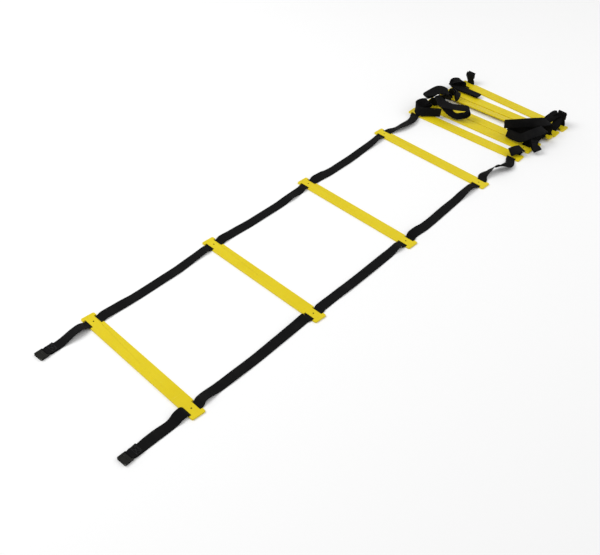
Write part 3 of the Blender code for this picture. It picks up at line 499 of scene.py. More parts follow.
# ---------------------------------------------------------------- rungs
def rung_mesh():
    half = RUNG_WIDTH / 2
    plate = prism_mesh("rung_plate", rounded_rectangle(half, RUNG_LENGTH / 2, RUNG_CORNER, 8), 0.0, RUNG_THICK)
    inner, outer, out_ = BRIDGE / 2, BRIDGE / 2 + SLOT, RUNG_WIDTH
    below, above = -0.01, 0.02
    roof = RUNG_THICK - BRIDGE_THICK
    outline = [
        (-out_, STRIP_THICK), (-outer, STRIP_THICK), (-outer, below), (outer, below),
        (outer, STRIP_THICK), (out_, STRIP_THICK), (out_, above), (inner, above),
        (inner, roof), (-inner, roof), (-inner, above), (-out_, above),
    ]
    cutters = []
    for side in (1, -1):
        middle = side * SLOT_Y
        cutters.append(prism_mesh(f"passage_{side}", outline, middle - PASSAGE / 2, middle + PASSAGE / 2, axis="y"))
        cutters.append(prism_mesh(f"hole_{side}", circle(0.0, middle, BRIDGE_HOLE_R, 24), 0.001, 0.02))
        # small blind gate mark near the outer end
        cutters.append(prism_mesh(f"gate_{side}", circle(-0.004, middle + side * 0.0185, 0.0008, 14), RUNG_THICK - 0.0005, 0.02))
    top = RUNG_THICK

    def perimeter(p, edge):
        return p.z > top - 1e-5 and (abs(abs(p.x) - half) < 1e-4 or abs(abs(p.y) - RUNG_LENGTH / 2) < RUNG_CORNER and abs(p.x) > half - RUNG_CORNER - 1e-4 or abs(abs(p.y) - RUNG_LENGTH / 2) < 1e-4)

    def upright(p, edge):
        a, b = edge.verts
        return abs(a.co.z - b.co.z) > 0.002 and abs(abs(p.x) - half) < 1e-4

    def bridge_top(p, edge):
        return p.z > top - 1e-5 and abs(abs(p.x) - inner) < 1e-4

    def small_top(p, edge):
        return p.z > top - 1e-5 and math.hypot(p.x, abs(p.y) - SLOT_Y) > 0.001

    def thin(p, edge):
        return p.z < top - 1e-5

    bevels = [
        (perimeter, 0.00110, 3),
        (bridge_top, 0.00060, 3),
        (upright, 0.00060, 3),
        (small_top, 0.00030, 3),
        (thin, 0.00022, 3),
    ]
    mesh = carved("rung", plate, cutters, bevels=bevels)
    return finish_hard(mesh, 50)


rung_master = rung_mesh()
for number in range(1, 11):
    rung = link(f"rung_plate_{number:02d}", rung_master, LOOK_RUNG)
    rung.matrix_world = rung_matrix(number)
    weigh_normals(rung)
    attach(rung, rung_body(number))
    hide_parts(f"rung_{number:02d}")


# ---------------------------------------------------------------- straps
def smooth_rows(rows, steps):
    rows = np.asarray(rows, float)
    ends = np.vstack([2 * rows[0] - rows[1], rows, 2 * rows[-1] - rows[-2]])
    made = []
    for i in range(1, len(ends) - 2):
        p = ends[i - 1 : i + 3]
        t = [0.0]
        for a, b in zip(p[:-1], p[1:]):
            t.append(t[-1] + max(np.linalg.norm((b - a)[:3]) ** 0.5, 1e-4))
        for u in np.linspace(t[1], t[2], steps, endpoint=False):
            a1 = (t[1] - u) / (t[1] - t[0]) * p[0] + (u - t[0]) / (t[1] - t[0]) * p[1]
            a2 = (t[2] - u) / (t[2] - t[1]) * p[1] + (u - t[1]) / (t[2] - t[1]) * p[2]
            a3 = (t[3] - u) / (t[3] - t[2]) * p[2] + (u - t[2]) / (t[3] - t[2]) * p[3]
            b1 = (t[2] - u) / (t[2] - t[0]) * a1 + (u - t[0]) / (t[2] - t[0]) * a2
            b2 = (t[3] - u) / (t[3] - t[1]) * a2 + (u - t[1]) / (t[3] - t[1]) * a3
            made.append((t[2] - u) / (t[2] - t[1]) * b1 + (u - t[1]) / (t[2] - t[1]) * b2)
    made.append(ends[-2])
    return np.array(made)


def row(x, y, z, w=(0, 1, 0), width=WEB_WIDTH):
    return [x, y, z, *w, width]


def even_rows(rows, step=0.0005, blur=0.0012):
    """Rows at an even arc length, with small kinks softened; the two ends stay put."""
    rows = np.asarray(rows, float)
    if rows.shape[1] < 7:
        rows = np.hstack([rows, np.full((len(rows), 1), WEB_WIDTH)])
    keep = [0]
    for i in range(1, len(rows)):
        if np.linalg.norm(rows[i, :3] - rows[keep[-1], :3]) > 1e-6:
            keep.append(i)
    rows = rows[keep]
    length = np.concatenate([[0.0], np.cumsum(np.linalg.norm(np.diff(rows[:, :3], axis=0), axis=1))])
    count = max(8, int(round(length[-1] / step)))
    s = np.linspace(0.0, length[-1], count + 1)
    made = np.stack([np.interp(s, length, rows[:, i]) for i in range(7)], axis=1)
    if blur > 0:
        half = int(round(3 * blur / step))
        kernel = np.exp(-0.5 * (np.arange(-half, half + 1) * step / blur) ** 2)
        kernel /= kernel.sum()
        first, last = made[0], made[-1]
        padded = np.vstack([2 * first - made[half:0:-1], made, 2 * last - made[-2 : -half - 2 : -1]])
        made = np.stack([np.convolve(padded[:, i], kernel, mode="valid") for i in range(7)], axis=1)
        made[0], made[-1] = first, last
    return made


def frames(rows):
    middle, across = rows[:, :3], rows[:, 3:6]
    ahead = np.gradient(middle, axis=0)
    ahead /= np.linalg.norm(ahead, axis=1)[:, None]
    across = across - (across * ahead).sum(1)[:, None] * ahead
    across /= np.linalg.norm(across, axis=1)[:, None]
    return middle, ahead, across, np.cross(ahead, across)


def thin_out(rows):
    """Indices of the rings that are kept: close together where the strap bends, wider where it is straight."""
    middle, ahead, across, face = frames(rows)
    step = np.linalg.norm(np.diff(middle, axis=0), axis=1)
    bend = np.linalg.norm(np.diff(face, axis=0), axis=1) + np.linalg.norm(np.diff(across, axis=0), axis=1)
    kept, reach, turned = [0], 0.0, 0.0
    for i in range(len(step)):
        reach += step[i]
        turned += bend[i]
        if reach > 0.0035 or (turned > 0.11 and reach > 0.0006):
            kept.append(i + 1)
            reach = turned = 0.0
    if kept[-1] != len(rows) - 1:
        kept.append(len(rows) - 1)
    return kept


def ring_profile():
    """Points of the strap's section: across, up, normal across, normal up, u in metres."""
    half, r = WEB_WIDTH / 2, WEB_THICK / 2
    flat = half - r
    points = []
    for i in range(9):
        a = flat - 2 * flat * i / 8
        points.append((a, r, 0.0, 1.0))
    for i in (1, 2, 3):
        angle = math.pi / 2 + math.pi * i / 4
        points.append((-flat + r * math.cos(angle), r * math.sin(angle), math.cos(angle), math.sin(angle)))
    for i in range(9):
        a = -flat + 2 * flat * i / 8
        points.append((a, -r, 0.0, -1.0))
    for i in (1, 2, 3):
        angle = -math.pi / 2 + math.pi * i / 4
        points.append((flat + r * math.cos(angle), r * math.sin(angle), math.cos(angle), math.sin(angle)))
    return points


RING = ring_profile()


def webbing(name, rows, v0=0.0, cup=0.0):
    """One stretch of webbing along rows of x, y, z and width direction (layout coordinates).

    cup bows the section by that many metres. Returns the object; its ends are closed.
    """
    kept = thin_out(rows)
    middle, ahead, across, face = frames(rows)
    s = np.concatenate([[0.0], np.cumsum(np.linalg.norm(np.diff(middle, axis=0), axis=1))])
    points, normals, uvs = [], [], []
    half = WEB_WIDTH / 2
    for i in kept:
        for a, b, na, nb in RING:
            bow = cup * (1 - (a / half) ** 2)
            points.append(at(middle[i] + across[i] * a * rows[i, 6] / WEB_WIDTH + face[i] * (b + bow)))
            normals.append(across[i] * na + face[i] * nb)
            uvs.append((a + half, v0 + s[i]))
    size = len(RING)
    faces, corner = [], []
    for k in range(len(kept) - 1):
        for j in range(size):
            jj = (j + 1) % size
            face_ = (k * size + j, k * size + jj, (k + 1) * size + jj, (k + 1) * size + j)
            faces.append(face_)
            corner.append([normals[q] for q in face_])
    for k, flip in ((0, -1), (len(kept) - 1, 1)):
        start = len(points)
        ring = [points[k * size + j] for j in range(size)]
        points += ring
        uvs += [uvs[k * size + j] for j in range(size)]
        order = list(range(start, start + size))
        if flip == -1:
            order = order[::-1]
        faces.append(tuple(order))
        cap = ahead[kept[k] if k == 0 else kept[-1]] * flip
        corner.append([cap] * size)
    mesh = bpy.data.meshes.new(name)
    mesh.from_pydata([tuple(p) for p in points], [], faces)
    mesh.update()
    # faces must point outwards
    first = mesh.polygons[0]
    wanted = Vector(corner[0][0])
    if first.normal.dot(wanted) < 0:
        mesh.flip_normals()
        turned_corner = []
        for c in corner:
            turned_corner.append([c[0]] + c[:0:-1])
        corner = turned_corner
    layer = mesh.uv_layers.new(name="UVMap")
    for polygon in mesh.polygons:
        polygon.use_smooth = True
        for loop in polygon.loop_indices:
            layer.data[loop].uv = uvs[mesh.loops[loop].vertex_index]
    flat_normals = [tuple(c) for group in corner for c in group]
    mesh.normals_split_custom_set(flat_normals)
    obj = link(name, mesh, LOOK_WEB)
    return obj


def cut_at(rows, x):
    """Index of the row nearest an x value; the stretch is in order of x."""
    return int(np.argmin(np.abs(rows[:, 0] - x)))


def fold_lines():
    lines = []
    for number in range(1, 6):
        x, _, turn, _ = RUNGS[number - 1]
        reach = RUNG_WIDTH / 2 + abs(math.sin(turn)) * SLOT_Y + STATION_MARGIN
        if number == 5:
            lines.append((x - reach - 0.001, x + reach))
        else:
            lines.append((x - reach - RUNG_BACK[number - 1], x + reach + RUNG_TRAVEL[number - 1]))
    return lines


BAY_FROM = (0.030, 0.038, 0.050, 0.065, 0.085, 0.120)
# for those, and for one third, half and two thirds of the bay in between: sideways
# drift in mm from the straight line, height in mm and roll (left edge up) in radians
BAYS = {
    (1, 1): (
        (-0.7, 4.1, 0.07), (-1.1, 4.5, 0.10), (-1.5, 4.0, 0.12), (-2.2, 3.1, 0.15), (-3.2, 2.5, 0.15),
        (-4.2, 1.0, 0.04), (-4.6, 1.0, 0.03), (-4.6, 1.3, 0.02), (-4.7, 1.0, 0.04), (-3.4, 0.9, 0.03),
        (-0.7, 1.8, -0.05), (0.4, 2.3, -0.10), (1.2, 3.0, -0.12), (1.5, 4.1, -0.14), (1.7, 4.5, -0.14),
    ),
    (1, -1): (
        (1.6, 5.4, -0.08), (2.8, 5.9, -0.14), (3.3, 5.2, -0.13), (2.8, 3.6, -0.08), (1.9, 1.1, 0.03),
        (1.0, 1.9, 0.02), (0.6, 1.9, 0.03), (-0.1, 1.5, 0.06), (1.3, 1.7, 0.11), (1.6, 1.7, 0.13),
        (2.3, 1.0, 0.20), (2.7, 1.3, 0.24), (2.9, 2.0, 0.29), (2.9, 3.2, 0.35), (2.8, 4.2, 0.37),
    ),
    (2, 1): (
        (-0.3, 4.4, 0.11), (-0.3, 4.8, 0.13), (-0.4, 3.8, 0.14), (-1.0, 2.8, 0.12), (-1.8, 2.0, 0.11),
        (-3.7, 0.9, 0.08), (-4.3, 0.9, 0.07), (-5.0, 0.9, 0.03), (-5.8, 1.0, 0.06), (-5.2, 1.1, 0.06),
        (-3.7, 4.4, -0.13), (-3.2, 3.1, 0.00), (-2.7, 1.3, 0.07), (-1.7, 2.9, -0.07), (-1.0, 4.0, -0.15),
    ),
    (2, -1): (
        (0.9, 2.6, 0.15), (1.1, 2.5, 0.14), (1.4, 2.0, 0.13), (1.5, 1.7, 0.10), (1.6, 1.9, 0.06),
        (0.8, 2.9, 0.05), (0.4, 2.8, 0.05), (0.5, 2.4, 0.07), (1.2, 2.1, 0.11), (1.5, 2.0, 0.12),
        (2.2, 1.0, 0.09), (3.2, 1.6, -0.02), (3.7, 4.4, -0.18), (3.8, 6.3, -0.24), (3.7, 5.8, -0.18),
    ),
    (3, 1): (
        (-2.0, 5.0, 0.33), (-2.5, 5.4, 0.36), (-3.4, 5.4, 0.35), (-4.6, 5.6, 0.28), (-6.2, 3.4, 0.17),
        (-6.8, 1.0, 0.06), (-6.8, 0.9, 0.06), (-7.4, 0.9, 0.07), (-4.2, 0.9, -0.00), (-4.1, 1.0, -0.02),
        (-3.2, 3.2, -0.11), (-1.8, 4.6, -0.21), (-0.7, 5.4, -0.27), (-0.0, 6.2, -0.29), (0.4, 5.7, -0.22),
    ),
    (3, -1): (
        (0.5, 5.8, 0.50), (0.3, 6.2, 0.56), (0.0, 5.5, 0.57), (-0.6, 4.3, 0.46), (-1.5, 1.7, 0.26),
        (-1.3, 1.0, 0.16), (-1.2, 1.0, 0.15), (0.9, 1.4, 0.13), (3.0, 1.3, 0.01), (3.3, 1.4, -0.02),
        (4.4, 4.7, -0.18), (5.2, 6.0, -0.29), (5.2, 6.3, -0.30), (4.4, 6.4, -0.24), (2.6, 5.2, -0.12),
    ),
}
LAST_BAY = {
    1: (
        (1.2420, 0.1980, 0.0040, 0, 1, -0.05),
        (1.2685, 0.1896, 0.0070, 0, 1, -0.38),
        (1.3037, 0.1831, 0.0090, 0, 1, -0.15),
        (1.3368, 0.1823, 0.0080, 0, 1, -0.1),
        (1.3640, 0.1895, 0.0058, 0, 1, -0.05),
    ),
    -1: (
        (1.2424, -0.1566, 0.0060, 0, 1, -0.15),
        (1.2710, -0.1593, 0.0110, 0, 1, -0.7),
        (1.2948, -0.1656, 0.0140, 0, 1, -1.35),
        (1.3215, -0.1765, 0.0140, 0.1, 1, -0.45),
        (1.3450, -0.1858, 0.0118, 0.25, 1, 0.14),
        (1.3670, -0.1780, 0.0070, 0.2, 1, 0.05),
    ),
}


def in_passage(number, side, offset):
    """A row of the strap under a rung's bridge, this far along X from the passage's middle."""
    x, y = passage(number, side)
    return row(x + offset, y + math.tan(RUNGS[number - 1][2]) * offset, STRAP_Z, rung_line(number))


def bay_rows(bay, side, steps=16):
    """The strap of one open bay from the middle of one passage to the middle of the next."""
    x0, y0 = passage(bay, side)
    x1, y1 = passage(bay + 1, side)
    rows = [in_passage(bay, side, d) for d in (0.0, 0.0120, 0.0205)]
    if bay == 4:
        rows += [row(p[0], p[1], p[2], p[3:6]) for p in LAST_BAY[side]]
    else:
        span = x1 - x0
        offsets = BAY_FROM + (span / 3, span / 2, span * 2 / 3) + tuple(span - d for d in BAY_FROM[::-1])
        for offset, (drift, height, roll) in zip(offsets, BAYS[(bay, side)]):
            z = max(height / 1000, FLOOR_Z + WEB_WIDTH / 2 * abs(math.sin(roll)))
            y = y0 + (y1 - y0) * offset / span + drift / 1000
            rows.append(row(x0 + offset, y, z, (0, math.cos(roll), math.sin(roll))))
    rows += [in_passage(bay + 1, side, d) for d in (-0.0205, -0.0120, 0.0)]
    made = smooth_rows(rows, steps)
    # the width stays square to the strap's run, seen from above
    flat = np.gradient(made[:, :2], axis=0)
    flat /= np.linalg.norm(flat, axis=1)[:, None]
    level = np.linalg.norm(made[:, 3:5], axis=1)
    made[:, 3], made[:, 4] = -flat[:, 1] * level, flat[:, 0] * level
    low = np.full(len(made), FLOOR_Z)
    low[(made[:, 0] < x0 + 0.030) | (made[:, 0] > x1 - 0.030)] = STRAP_Z
    made[:, 2] = np.maximum(made[:, 2], low + WEB_WIDTH / 2 * np.abs(made[:, 5]))
    # flat where a rung may slide over it
    under = (made[:, 0] < x0 + 0.0206) | (made[:, 0] > x1 - 0.0206)
    made[under, 2] = STRAP_Z
    made[under, 5] = 0.0
    return made


def point(rows, x, z):
    i = cut_at(rows, x)
    return tuple(at((rows[i, 0], rows[i, 1], z)))


run_length = {1: 0.0, -1: 0.0}
LINES = fold_lines()
for bay in (1, 2, 3, 4):
    start, end = LINES[bay - 1][1], LINES[bay][0]
    tag = f"{bay}_{bay + 1}"
    quarter, middle_x, three = start + 0.25 * (end - start), (start + end) / 2, start + 0.75 * (end - start)
    for side in (1, -1):
        s = NAMES[side]
        rows = even_rows(bay_rows(bay, side))
        # slow twist and lift that a real strap on the floor has
        phase = bay * 1.7 + side * 0.6
        along = rows[:, 0]
        free = np.clip((along - start - 0.03) / 0.03, 0, 1) * np.clip((end - 0.03 - along) / 0.03, 0, 1)
        if bay < 4:
            roll = 0.012 * np.sin(along * 31.0 + phase) * free
            rows[:, 5] += roll
            lift = 0.0125 * np.abs(roll) + 0.00025 * (1 + np.sin(along * 47.0 + phase)) * free
            rows[:, 2] += lift
        a, b = cut_at(rows, quarter), cut_at(rows, three)
        v = run_length[side]
        near = webbing(f"web_bay_{tag}_near_{s}", rows[: a + 1], v)
        mid = webbing(f"web_bay_{tag}_middle_{s}", rows[a : b + 1], v + a * 0.0005)
        far = webbing(f"web_bay_{tag}_far_{s}", rows[b:], v + b * 0.0005)
        run_length[side] += len(rows) * 0.0005
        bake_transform(near)
        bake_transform(mid)
        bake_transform(far)
        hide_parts(f"strap_at_rung_{bay:02d}_{s}", f"strap_bay_{tag}_near_{s}")
        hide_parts(f"strap_bay_{tag}_near_{s}", f"strap_bay_{tag}_far_{s}")
        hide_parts(f"strap_bay_{tag}_far_{s}", f"strap_at_rung_{bay + 1:02d}_{s}")

# ---------------------------------------------------------------- near tails
TAILS = {
    1: (
        (-0.0020, 0.1825, 0.0021, 0.0), (-0.0060, 0.1826, 0.0038, 0.0), (-0.0110, 0.1827, 0.0056, -0.03),
        (-0.0169, 0.1827, 0.0087, -0.06), (-0.0229, 0.1827, 0.0109, -0.10), (-0.0309, 0.1827, 0.0117, -0.15),
        (-0.0389, 0.1825, 0.0115, -0.17), (-0.0489, 0.1823, 0.0103, -0.18), (-0.0619, 0.1818, 0.0074, -0.16),
        (-0.0769, 0.1813, 0.0036, -0.09), (-0.0870, 0.1811, 0.0017, -0.03), (-0.0960, 0.1810, 0.0011, 0.0),
        (-0.1120, 0.1810, 0.0010, 0.0),
    ),
    -1: (
        (-0.0264, -0.1816, 0.0021, 0.0), (-0.0279, -0.1818, 0.0034, 0.04), (-0.0292, -0.1820, 0.0058, 0.10),
        (-0.0316, -0.1821, 0.0086, 0.23), (-0.0365, -0.1824, 0.0107, 0.38),
        (-0.0431, -0.1825, 0.0114, 0.48), (-0.0491, -0.1825, 0.0109, 0.46), (-0.0571, -0.1825, 0.0085, 0.33),
        (-0.0640, -0.1825, 0.0042, 0.17), (-0.0700, -0.1825, 0.0021, 0.07), (-0.0781, -0.1825, 0.0012, 0.02),
        (-0.0900, -0.1825, 0.0017, 0.05), (-0.1031, -0.1825, 0.0027, 0.12), (-0.1200, -0.1823, 0.0031, 0.15),
        (-0.1430, -0.1821, 0.0026, 0.11), (-0.1580, -0.1820, 0.0013, 0.02), (-0.1760, -0.1820, 0.0010, 0.0),
    ),
}
BAR_X = {1: -0.1273, -1: -0.1896}
FOLD_BACK = 0.028  # length of the webbing folded back over the strap at a bar


def bar_y(side):
    return TAILS[side][-1][1]


BACK = (
    (0.0022, 0.0, -0.0001, WEB_AT_BAR), (0.0050, 0.0001, -0.0005, WEB_WIDTH - 0.0008), (0.0085, 0.0002, -0.0011, WEB_WIDTH),
    (0.0140, 0.0004, -0.0017, WEB_WIDTH), (0.0210, 0.0007, -0.0016, WEB_WIDTH), (FOLD_BACK, 0.0010, -0.0008, WEB_WIDTH),
)

def tail_rows(side):
    rows = [in_passage(1, side, d) for d in (0.0, -0.0060, -0.0115)]
    for x, y, z, roll in TAILS[side]:
        rows.append(row(x, y, z, (0, math.cos(roll), math.sin(roll))))
    bar = (BAR_X[side], bar_y(side), BUCKLE_THICK / 2)
    low = bar[2] - BAR_LOOP_R
    rows.append(row(bar[0] + 0.0070, bar[1], low))
    rows = smooth_rows(rows, 16).tolist()
    rows.append(row(bar[0] + 0.0050, bar[1], low, width=WEB_WIDTH - 0.0008))
    rows.append(row(bar[0] + 0.0022, bar[1], low, width=WEB_AT_BAR))
    for i in range(25):
        angle = -0.5 * math.pi - math.pi * i / 24
        rows.append(row(bar[0] + BAR_LOOP_R * math.cos(angle), bar[1], bar[2] + BAR_LOOP_R * math.sin(angle), width=WEB_AT_BAR))
    top = bar[2] + BAR_LOOP_R
    back = [rows[-1]] + [row(bar[0] + dx, bar[1] + dy, top + dz, width=width) for dx, dy, dz, width in BACK]
    return np.vstack([np.array(rows)[:-1], smooth_rows(back, 10)])

def stitches(name, lines, body):
    """Thread stitches as short rounded bars along lines of points (layout coordinates)."""
    bm = bmesh.new()
    for start, end, up, count in lines:
        start, end, up = np.array(start, float), np.array(end, float), np.array(up, float)
        span = end - start
        length = np.linalg.norm(span)
        ahead = span / length
        side_ = np.cross(ahead, up)
        pitch = length / count
        for i in range(count):
            rings = []
            for k in range(7):
                t = k / 6
                centre = start + ahead * (pitch * (i + 0.08 + 0.84 * t)) + up * (0.00032 * math.sin(math.pi * t) - 0.00012)
                radius = 0.00030 * (0.55 + 0.45 * math.sin(math.pi * t))
                ring = []
                for q in range(8):
                    angle = 2 * math.pi * q / 8
                    p = centre + (side_ * math.cos(angle) + up * math.sin(angle)) * radius
                    ring.append(bm.verts.new(tuple(at(p))))
                rings.append(ring)
            for one, two in zip(rings[:-1], rings[1:]):
                for q in range(8):
                    r = (q + 1) % 8
                    bm.faces.new((one[q], one[r], two[r], two[q]))
            bm.faces.new(rings[0][::-1])
            bm.faces.new(rings[-1])
    bmesh.ops.recalc_face_normals(bm, faces=bm.faces)
    mesh = bpy.data.meshes.new(name)
    bm.to_mesh(mesh)
    bm.free()
    for polygon in mesh.polygons:
        polygon.use_smooth = True
    obj = link(name, mesh, LOOK_THREAD)
    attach(obj, body)
    return obj


for side in (1, -1):
    s = NAMES[side]
    x1, y1 = passage(1, side)
    rows = even_rows(tail_rows(side), blur=0.0007)
    tail = webbing(f"web_tail_near_{s}", rows)
    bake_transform(tail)
    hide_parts(f"near_tail_strap_{s}", f"strap_at_rung_01_{s}")
    # two rows across and a box of stitches through the doubled end
    bx, by, h, up = BAR_X[side], bar_y(side), 0.0105, (0, 0, 1)
    top = BUCKLE_THICK / 2 + BAR_LOOP_R

    def seam(dx, dy):
        spots = [part[0] for part in BACK]
        y = by + float(np.interp(dx, spots, [part[1] for part in BACK])) + dy
        z = top + float(np.interp(dx, spots, [part[2] for part in BACK])) + WEB_THICK / 2 + 0.0001
        return (bx + dx, y, z)

    lines = [(seam(dx, -h), seam(dx, h), up, 9) for dx in (0.0105, 0.0225, 0.0248)]
    for a, b in ((0.0105, 0.0140), (0.0140, 0.0180), (0.0180, 0.0225)):
        for sign in (1, -1):
            lines.append((seam(a, sign * h), seam(b, sign * h), up, 2))
            lines.append((seam(a, sign * h * (1 - (a - 0.0105) / 0.0060)), seam(b, sign * h * (1 - (b - 0.0105) / 0.0060)), up, 3))
    stitches(f"stitching_near_{s}", lines, f"near_tail_{s}")

# ---------------------------------------------------------------- gathered loops
LOOPS = {
    (5, 1): (
        (1.4490, 0.1910, 0.0270, -0.1, 1, 0.2, 3),
        (1.4263, 0.2049, 0.0320, -0.2, 0.5, 0.85, 3),
        (1.3982, 0.2071, 0.0290, 0.2, 0.2, 1, 3),
        (1.3882, 0.1887, 0.0220, 0.3, 0.1, 1, 3),
        (1.4143, 0.1579, 0.0210, 0.2, 0, 1, 3),
        (1.4345, 0.1351, 0.0200, 0.1, 0, 1, 3),
    ),
    (6, 1): (
        (1.4851, 0.1824, 0.0240, 0.2, 1, 0.1, 3),
        (1.4771, 0.1752, 0.0360, 0.5, 0.8, 0.4, 4),
        (1.4630, 0.1479, 0.0380, 0.7, 0.5, 0.5, 7),
        (1.4517, 0.1080, 0.0370, 0.83, 0.47, 0.3, 15),
        (1.4598, 0.0832, 0.0350, 0.83, 0.47, 0.3, 21),
        (1.4760, 0.0681, 0.0350, 0.83, 0.47, 0.3, 18),
    ),
    (7, 1): (
        (1.5152, 0.1572, 0.0420, 0.1, 1, 0.2, 4),
        (1.5127, 0.1742, 0.0530, 0.3, 0.8, 0.5, 4),
        (1.4985, 0.1938, 0.0560, 0.5, 0.5, 0.7, 5),
        (1.4722, 0.2031, 0.0490, 0.7, 0.5, 0.4, 6),
        (1.4575, 0.2104, 0.0440, 0.85, 0.5, 0.1, 6),
    ),
    (8, 1): (
        (1.5835, 0.1667, 0.0280, 0.1, 1, 0.2, 3),
        (1.5627, 0.1526, 0.0300, 0.3, 0.6, 0.7, 3),
        (1.5463, 0.1480, 0.0260, 0.3, 0.3, 0.9, 3),
    ),
    (9, 1): (
        (1.6581, 0.1941, 0.0260, 0, 1, 0.1, 4),
        (1.6405, 0.2126, 0.0290, 0.4, 0.9, 0.1, 4),
        (1.6309, 0.2194, 0.0220, 0.8, 0.6, 0.1, 3),
        (1.6356, 0.1936, 0.0140, 1, 0.3, 0.1, 2),
        (1.6415, 0.1470, 0.0115, 1, 0.1, 0, 2),
        (1.6427, 0.1106, 0.0110, 1, 0, 0, 2),
    ),
    (5, -1): (
        (1.4401, -0.1720, 0.0200, 0.2, 1, 0.2, 4),
        (1.4200, -0.1649, 0.0220, 0.4, 0.8, 0.5, 3),
        (1.4029, -0.1559, 0.0180, 0.5, 0.5, 0.7, 3),
    ),
    (6, -1): (
        (1.5149, -0.1793, 0.0240, 0.1, 1, 0.2, 4),
        (1.4921, -0.1862, 0.0260, 0.6, 0.7, 0.3, 4),
        (1.4841, -0.1979, 0.0200, 0.9, 0.4, 0.3, 4),
        (1.4795, -0.2109, 0.0150, 1, 0.2, 0.4, 3),
    ),
    (7, -1): (
        (1.5659, -0.1800, 0.0380, 0.1, 1, 0.2, 4),
        (1.5209, -0.1762, 0.0500, 0.5, 0.6, 0.6, 4),
        (1.4919, -0.1645, 0.0460, 0.4, 0.4, 0.8, 4),
        (1.4853, -0.1436, 0.0280, 0.3, 0.2, 1, 4),
        (1.4888, -0.1134, 0.0220, 0.3, 0.2, 1, 4),
        (1.4942, -0.0917, 0.0210, 0.3, 0.1, 1, 4),
    ),
    (8, -1): (
        (1.6147, -0.1716, 0.0380, 0.1, 1, 0, 4),
        (1.5842, -0.1618, 0.0540, 0.4, 0.6, 0.7, 4),
        (1.5428, -0.1360, 0.0580, 0.2, 0.2, 1, 4),
        (1.5096, -0.1042, 0.0540, 0.1, 0.1, 1, 4),
        (1.4877, -0.0789, 0.0500, 0, 0.1, 1, 4),
    ),
    (9, -1): (
        (1.6777, -0.1750, 0.0360, 0.1, 1, 0, 4),
        (1.6768, -0.1620, 0.0440, 0.3, 0.8, 0.5, 4),
        (1.6584, -0.1524, 0.0340, 0.4, 0.5, 0.7, 4),
        (1.5891, -0.1508, 0.0300, 0.2, 0.2, 1, 4),
        (1.5287, -0.1227, 0.0260, 0.2, 0.1, 1, 4),
        (1.5109, -0.0848, 0.0340, 0.1, 0, 1, 4),
    ),
}


def unit(v):
    return np.asarray(v, float) / np.linalg.norm(v)


def loop_runs(number, side):
    """The two runs of one doubled loop: out of the near rung to the tip, and from the tip to the far rung."""
    far = number + 1
    along = side * SLOT_Y
    spine = [[*p[:3], *unit(p[3:6]), p[6] / 1000] for p in LOOPS[(number, side)]]
    base = (on_rung(number, 0.0185, along, 0.010) + on_rung(far, -0.0202, along, 0.0130)) / 2
    line = unit(rung_line(number) + rung_line(far))
    gap = np.linalg.norm((on_rung(number, 0.0185, along, 0) - on_rung(far, -0.0185, along, 0))[:2])
    spine = [[*base, *line, min(0.004, max(0.0012, gap / 2))]] + spine
    dense = smooth_rows(spine, 16)
    middle, ahead, across, face = frames(dense)
    half = dense[:, 6]
    if face[0][0] > 0:
        face = -face
    one = [(middle[i] + face[i] * half[i], across[i]) for i in range(len(dense))]
    two = [(middle[i] - face[i] * half[i], across[i]) for i in range(len(dense))]
    # rounded turn at the tip
    tip_c, tip_a, tip_f, r = middle[-1], ahead[-1], face[-1], half[-1]
    turn = [(tip_c + tip_f * r * math.cos(t) + tip_a * r * math.sin(t), across[-1]) for t in np.linspace(0, math.pi / 2, 9)[1:]]
    back = [(tip_c + tip_f * r * math.cos(t) + tip_a * r * math.sin(t), across[-1]) for t in np.linspace(math.pi / 2, math.pi, 9)[:-1]]
    out_lead = [
        (on_rung(number, u, along, z), rung_line(number))
        for u, z in ((0.0, STRAP_Z), (0.0060, STRAP_Z), (0.0118, STRAP_Z), (0.0140, STRAP_Z + 0.0004), (0.0166, 0.0040))
    ]
    in_lead = [
        (on_rung(far, -u, along, z), rung_line(far))
        for u, z in ((0.0166, 0.0040), (0.0140, STRAP_Z + 0.0004), (0.0118, STRAP_Z), (0.0060, STRAP_Z), (0.0, STRAP_Z))
    ]
    pack = lambda items: np.array([[*p, *w] for p, w in items])
    first = np.vstack([smooth_rows(pack(out_lead + [one[0]]), 8)[:-1], pack(one + turn)])
    second = np.vstack([pack(turn[-1:] + back + two[::-1])[:-1], smooth_rows(pack([two[0]] + in_lead), 8)])
    return first, second


for (number, side) in LOOPS:
    s = NAMES[side]
    tag = f"{number}_{number + 1}"
    first, second = loop_runs(number, side)
    whole = even_rows(np.vstack([first[:-1], second]), blur=0.0022)
    cut = int(round(len(whole) * len(even_rows(first, blur=0)) / (len(even_rows(first, blur=0)) + len(even_rows(second, blur=0)))))
    one = webbing(f"web_loop_{tag}_{s}_out", whole[: cut + 1])
    two = webbing(f"web_loop_{tag}_{s}_back", whole[cut:], cut * 0.0005)
    a, b = rung_body(number), rung_body(number + 1)
    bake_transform(one)
    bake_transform(two)
    node = f"strap_loop_{tag}_{s}"
    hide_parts(node)
    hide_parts(node)

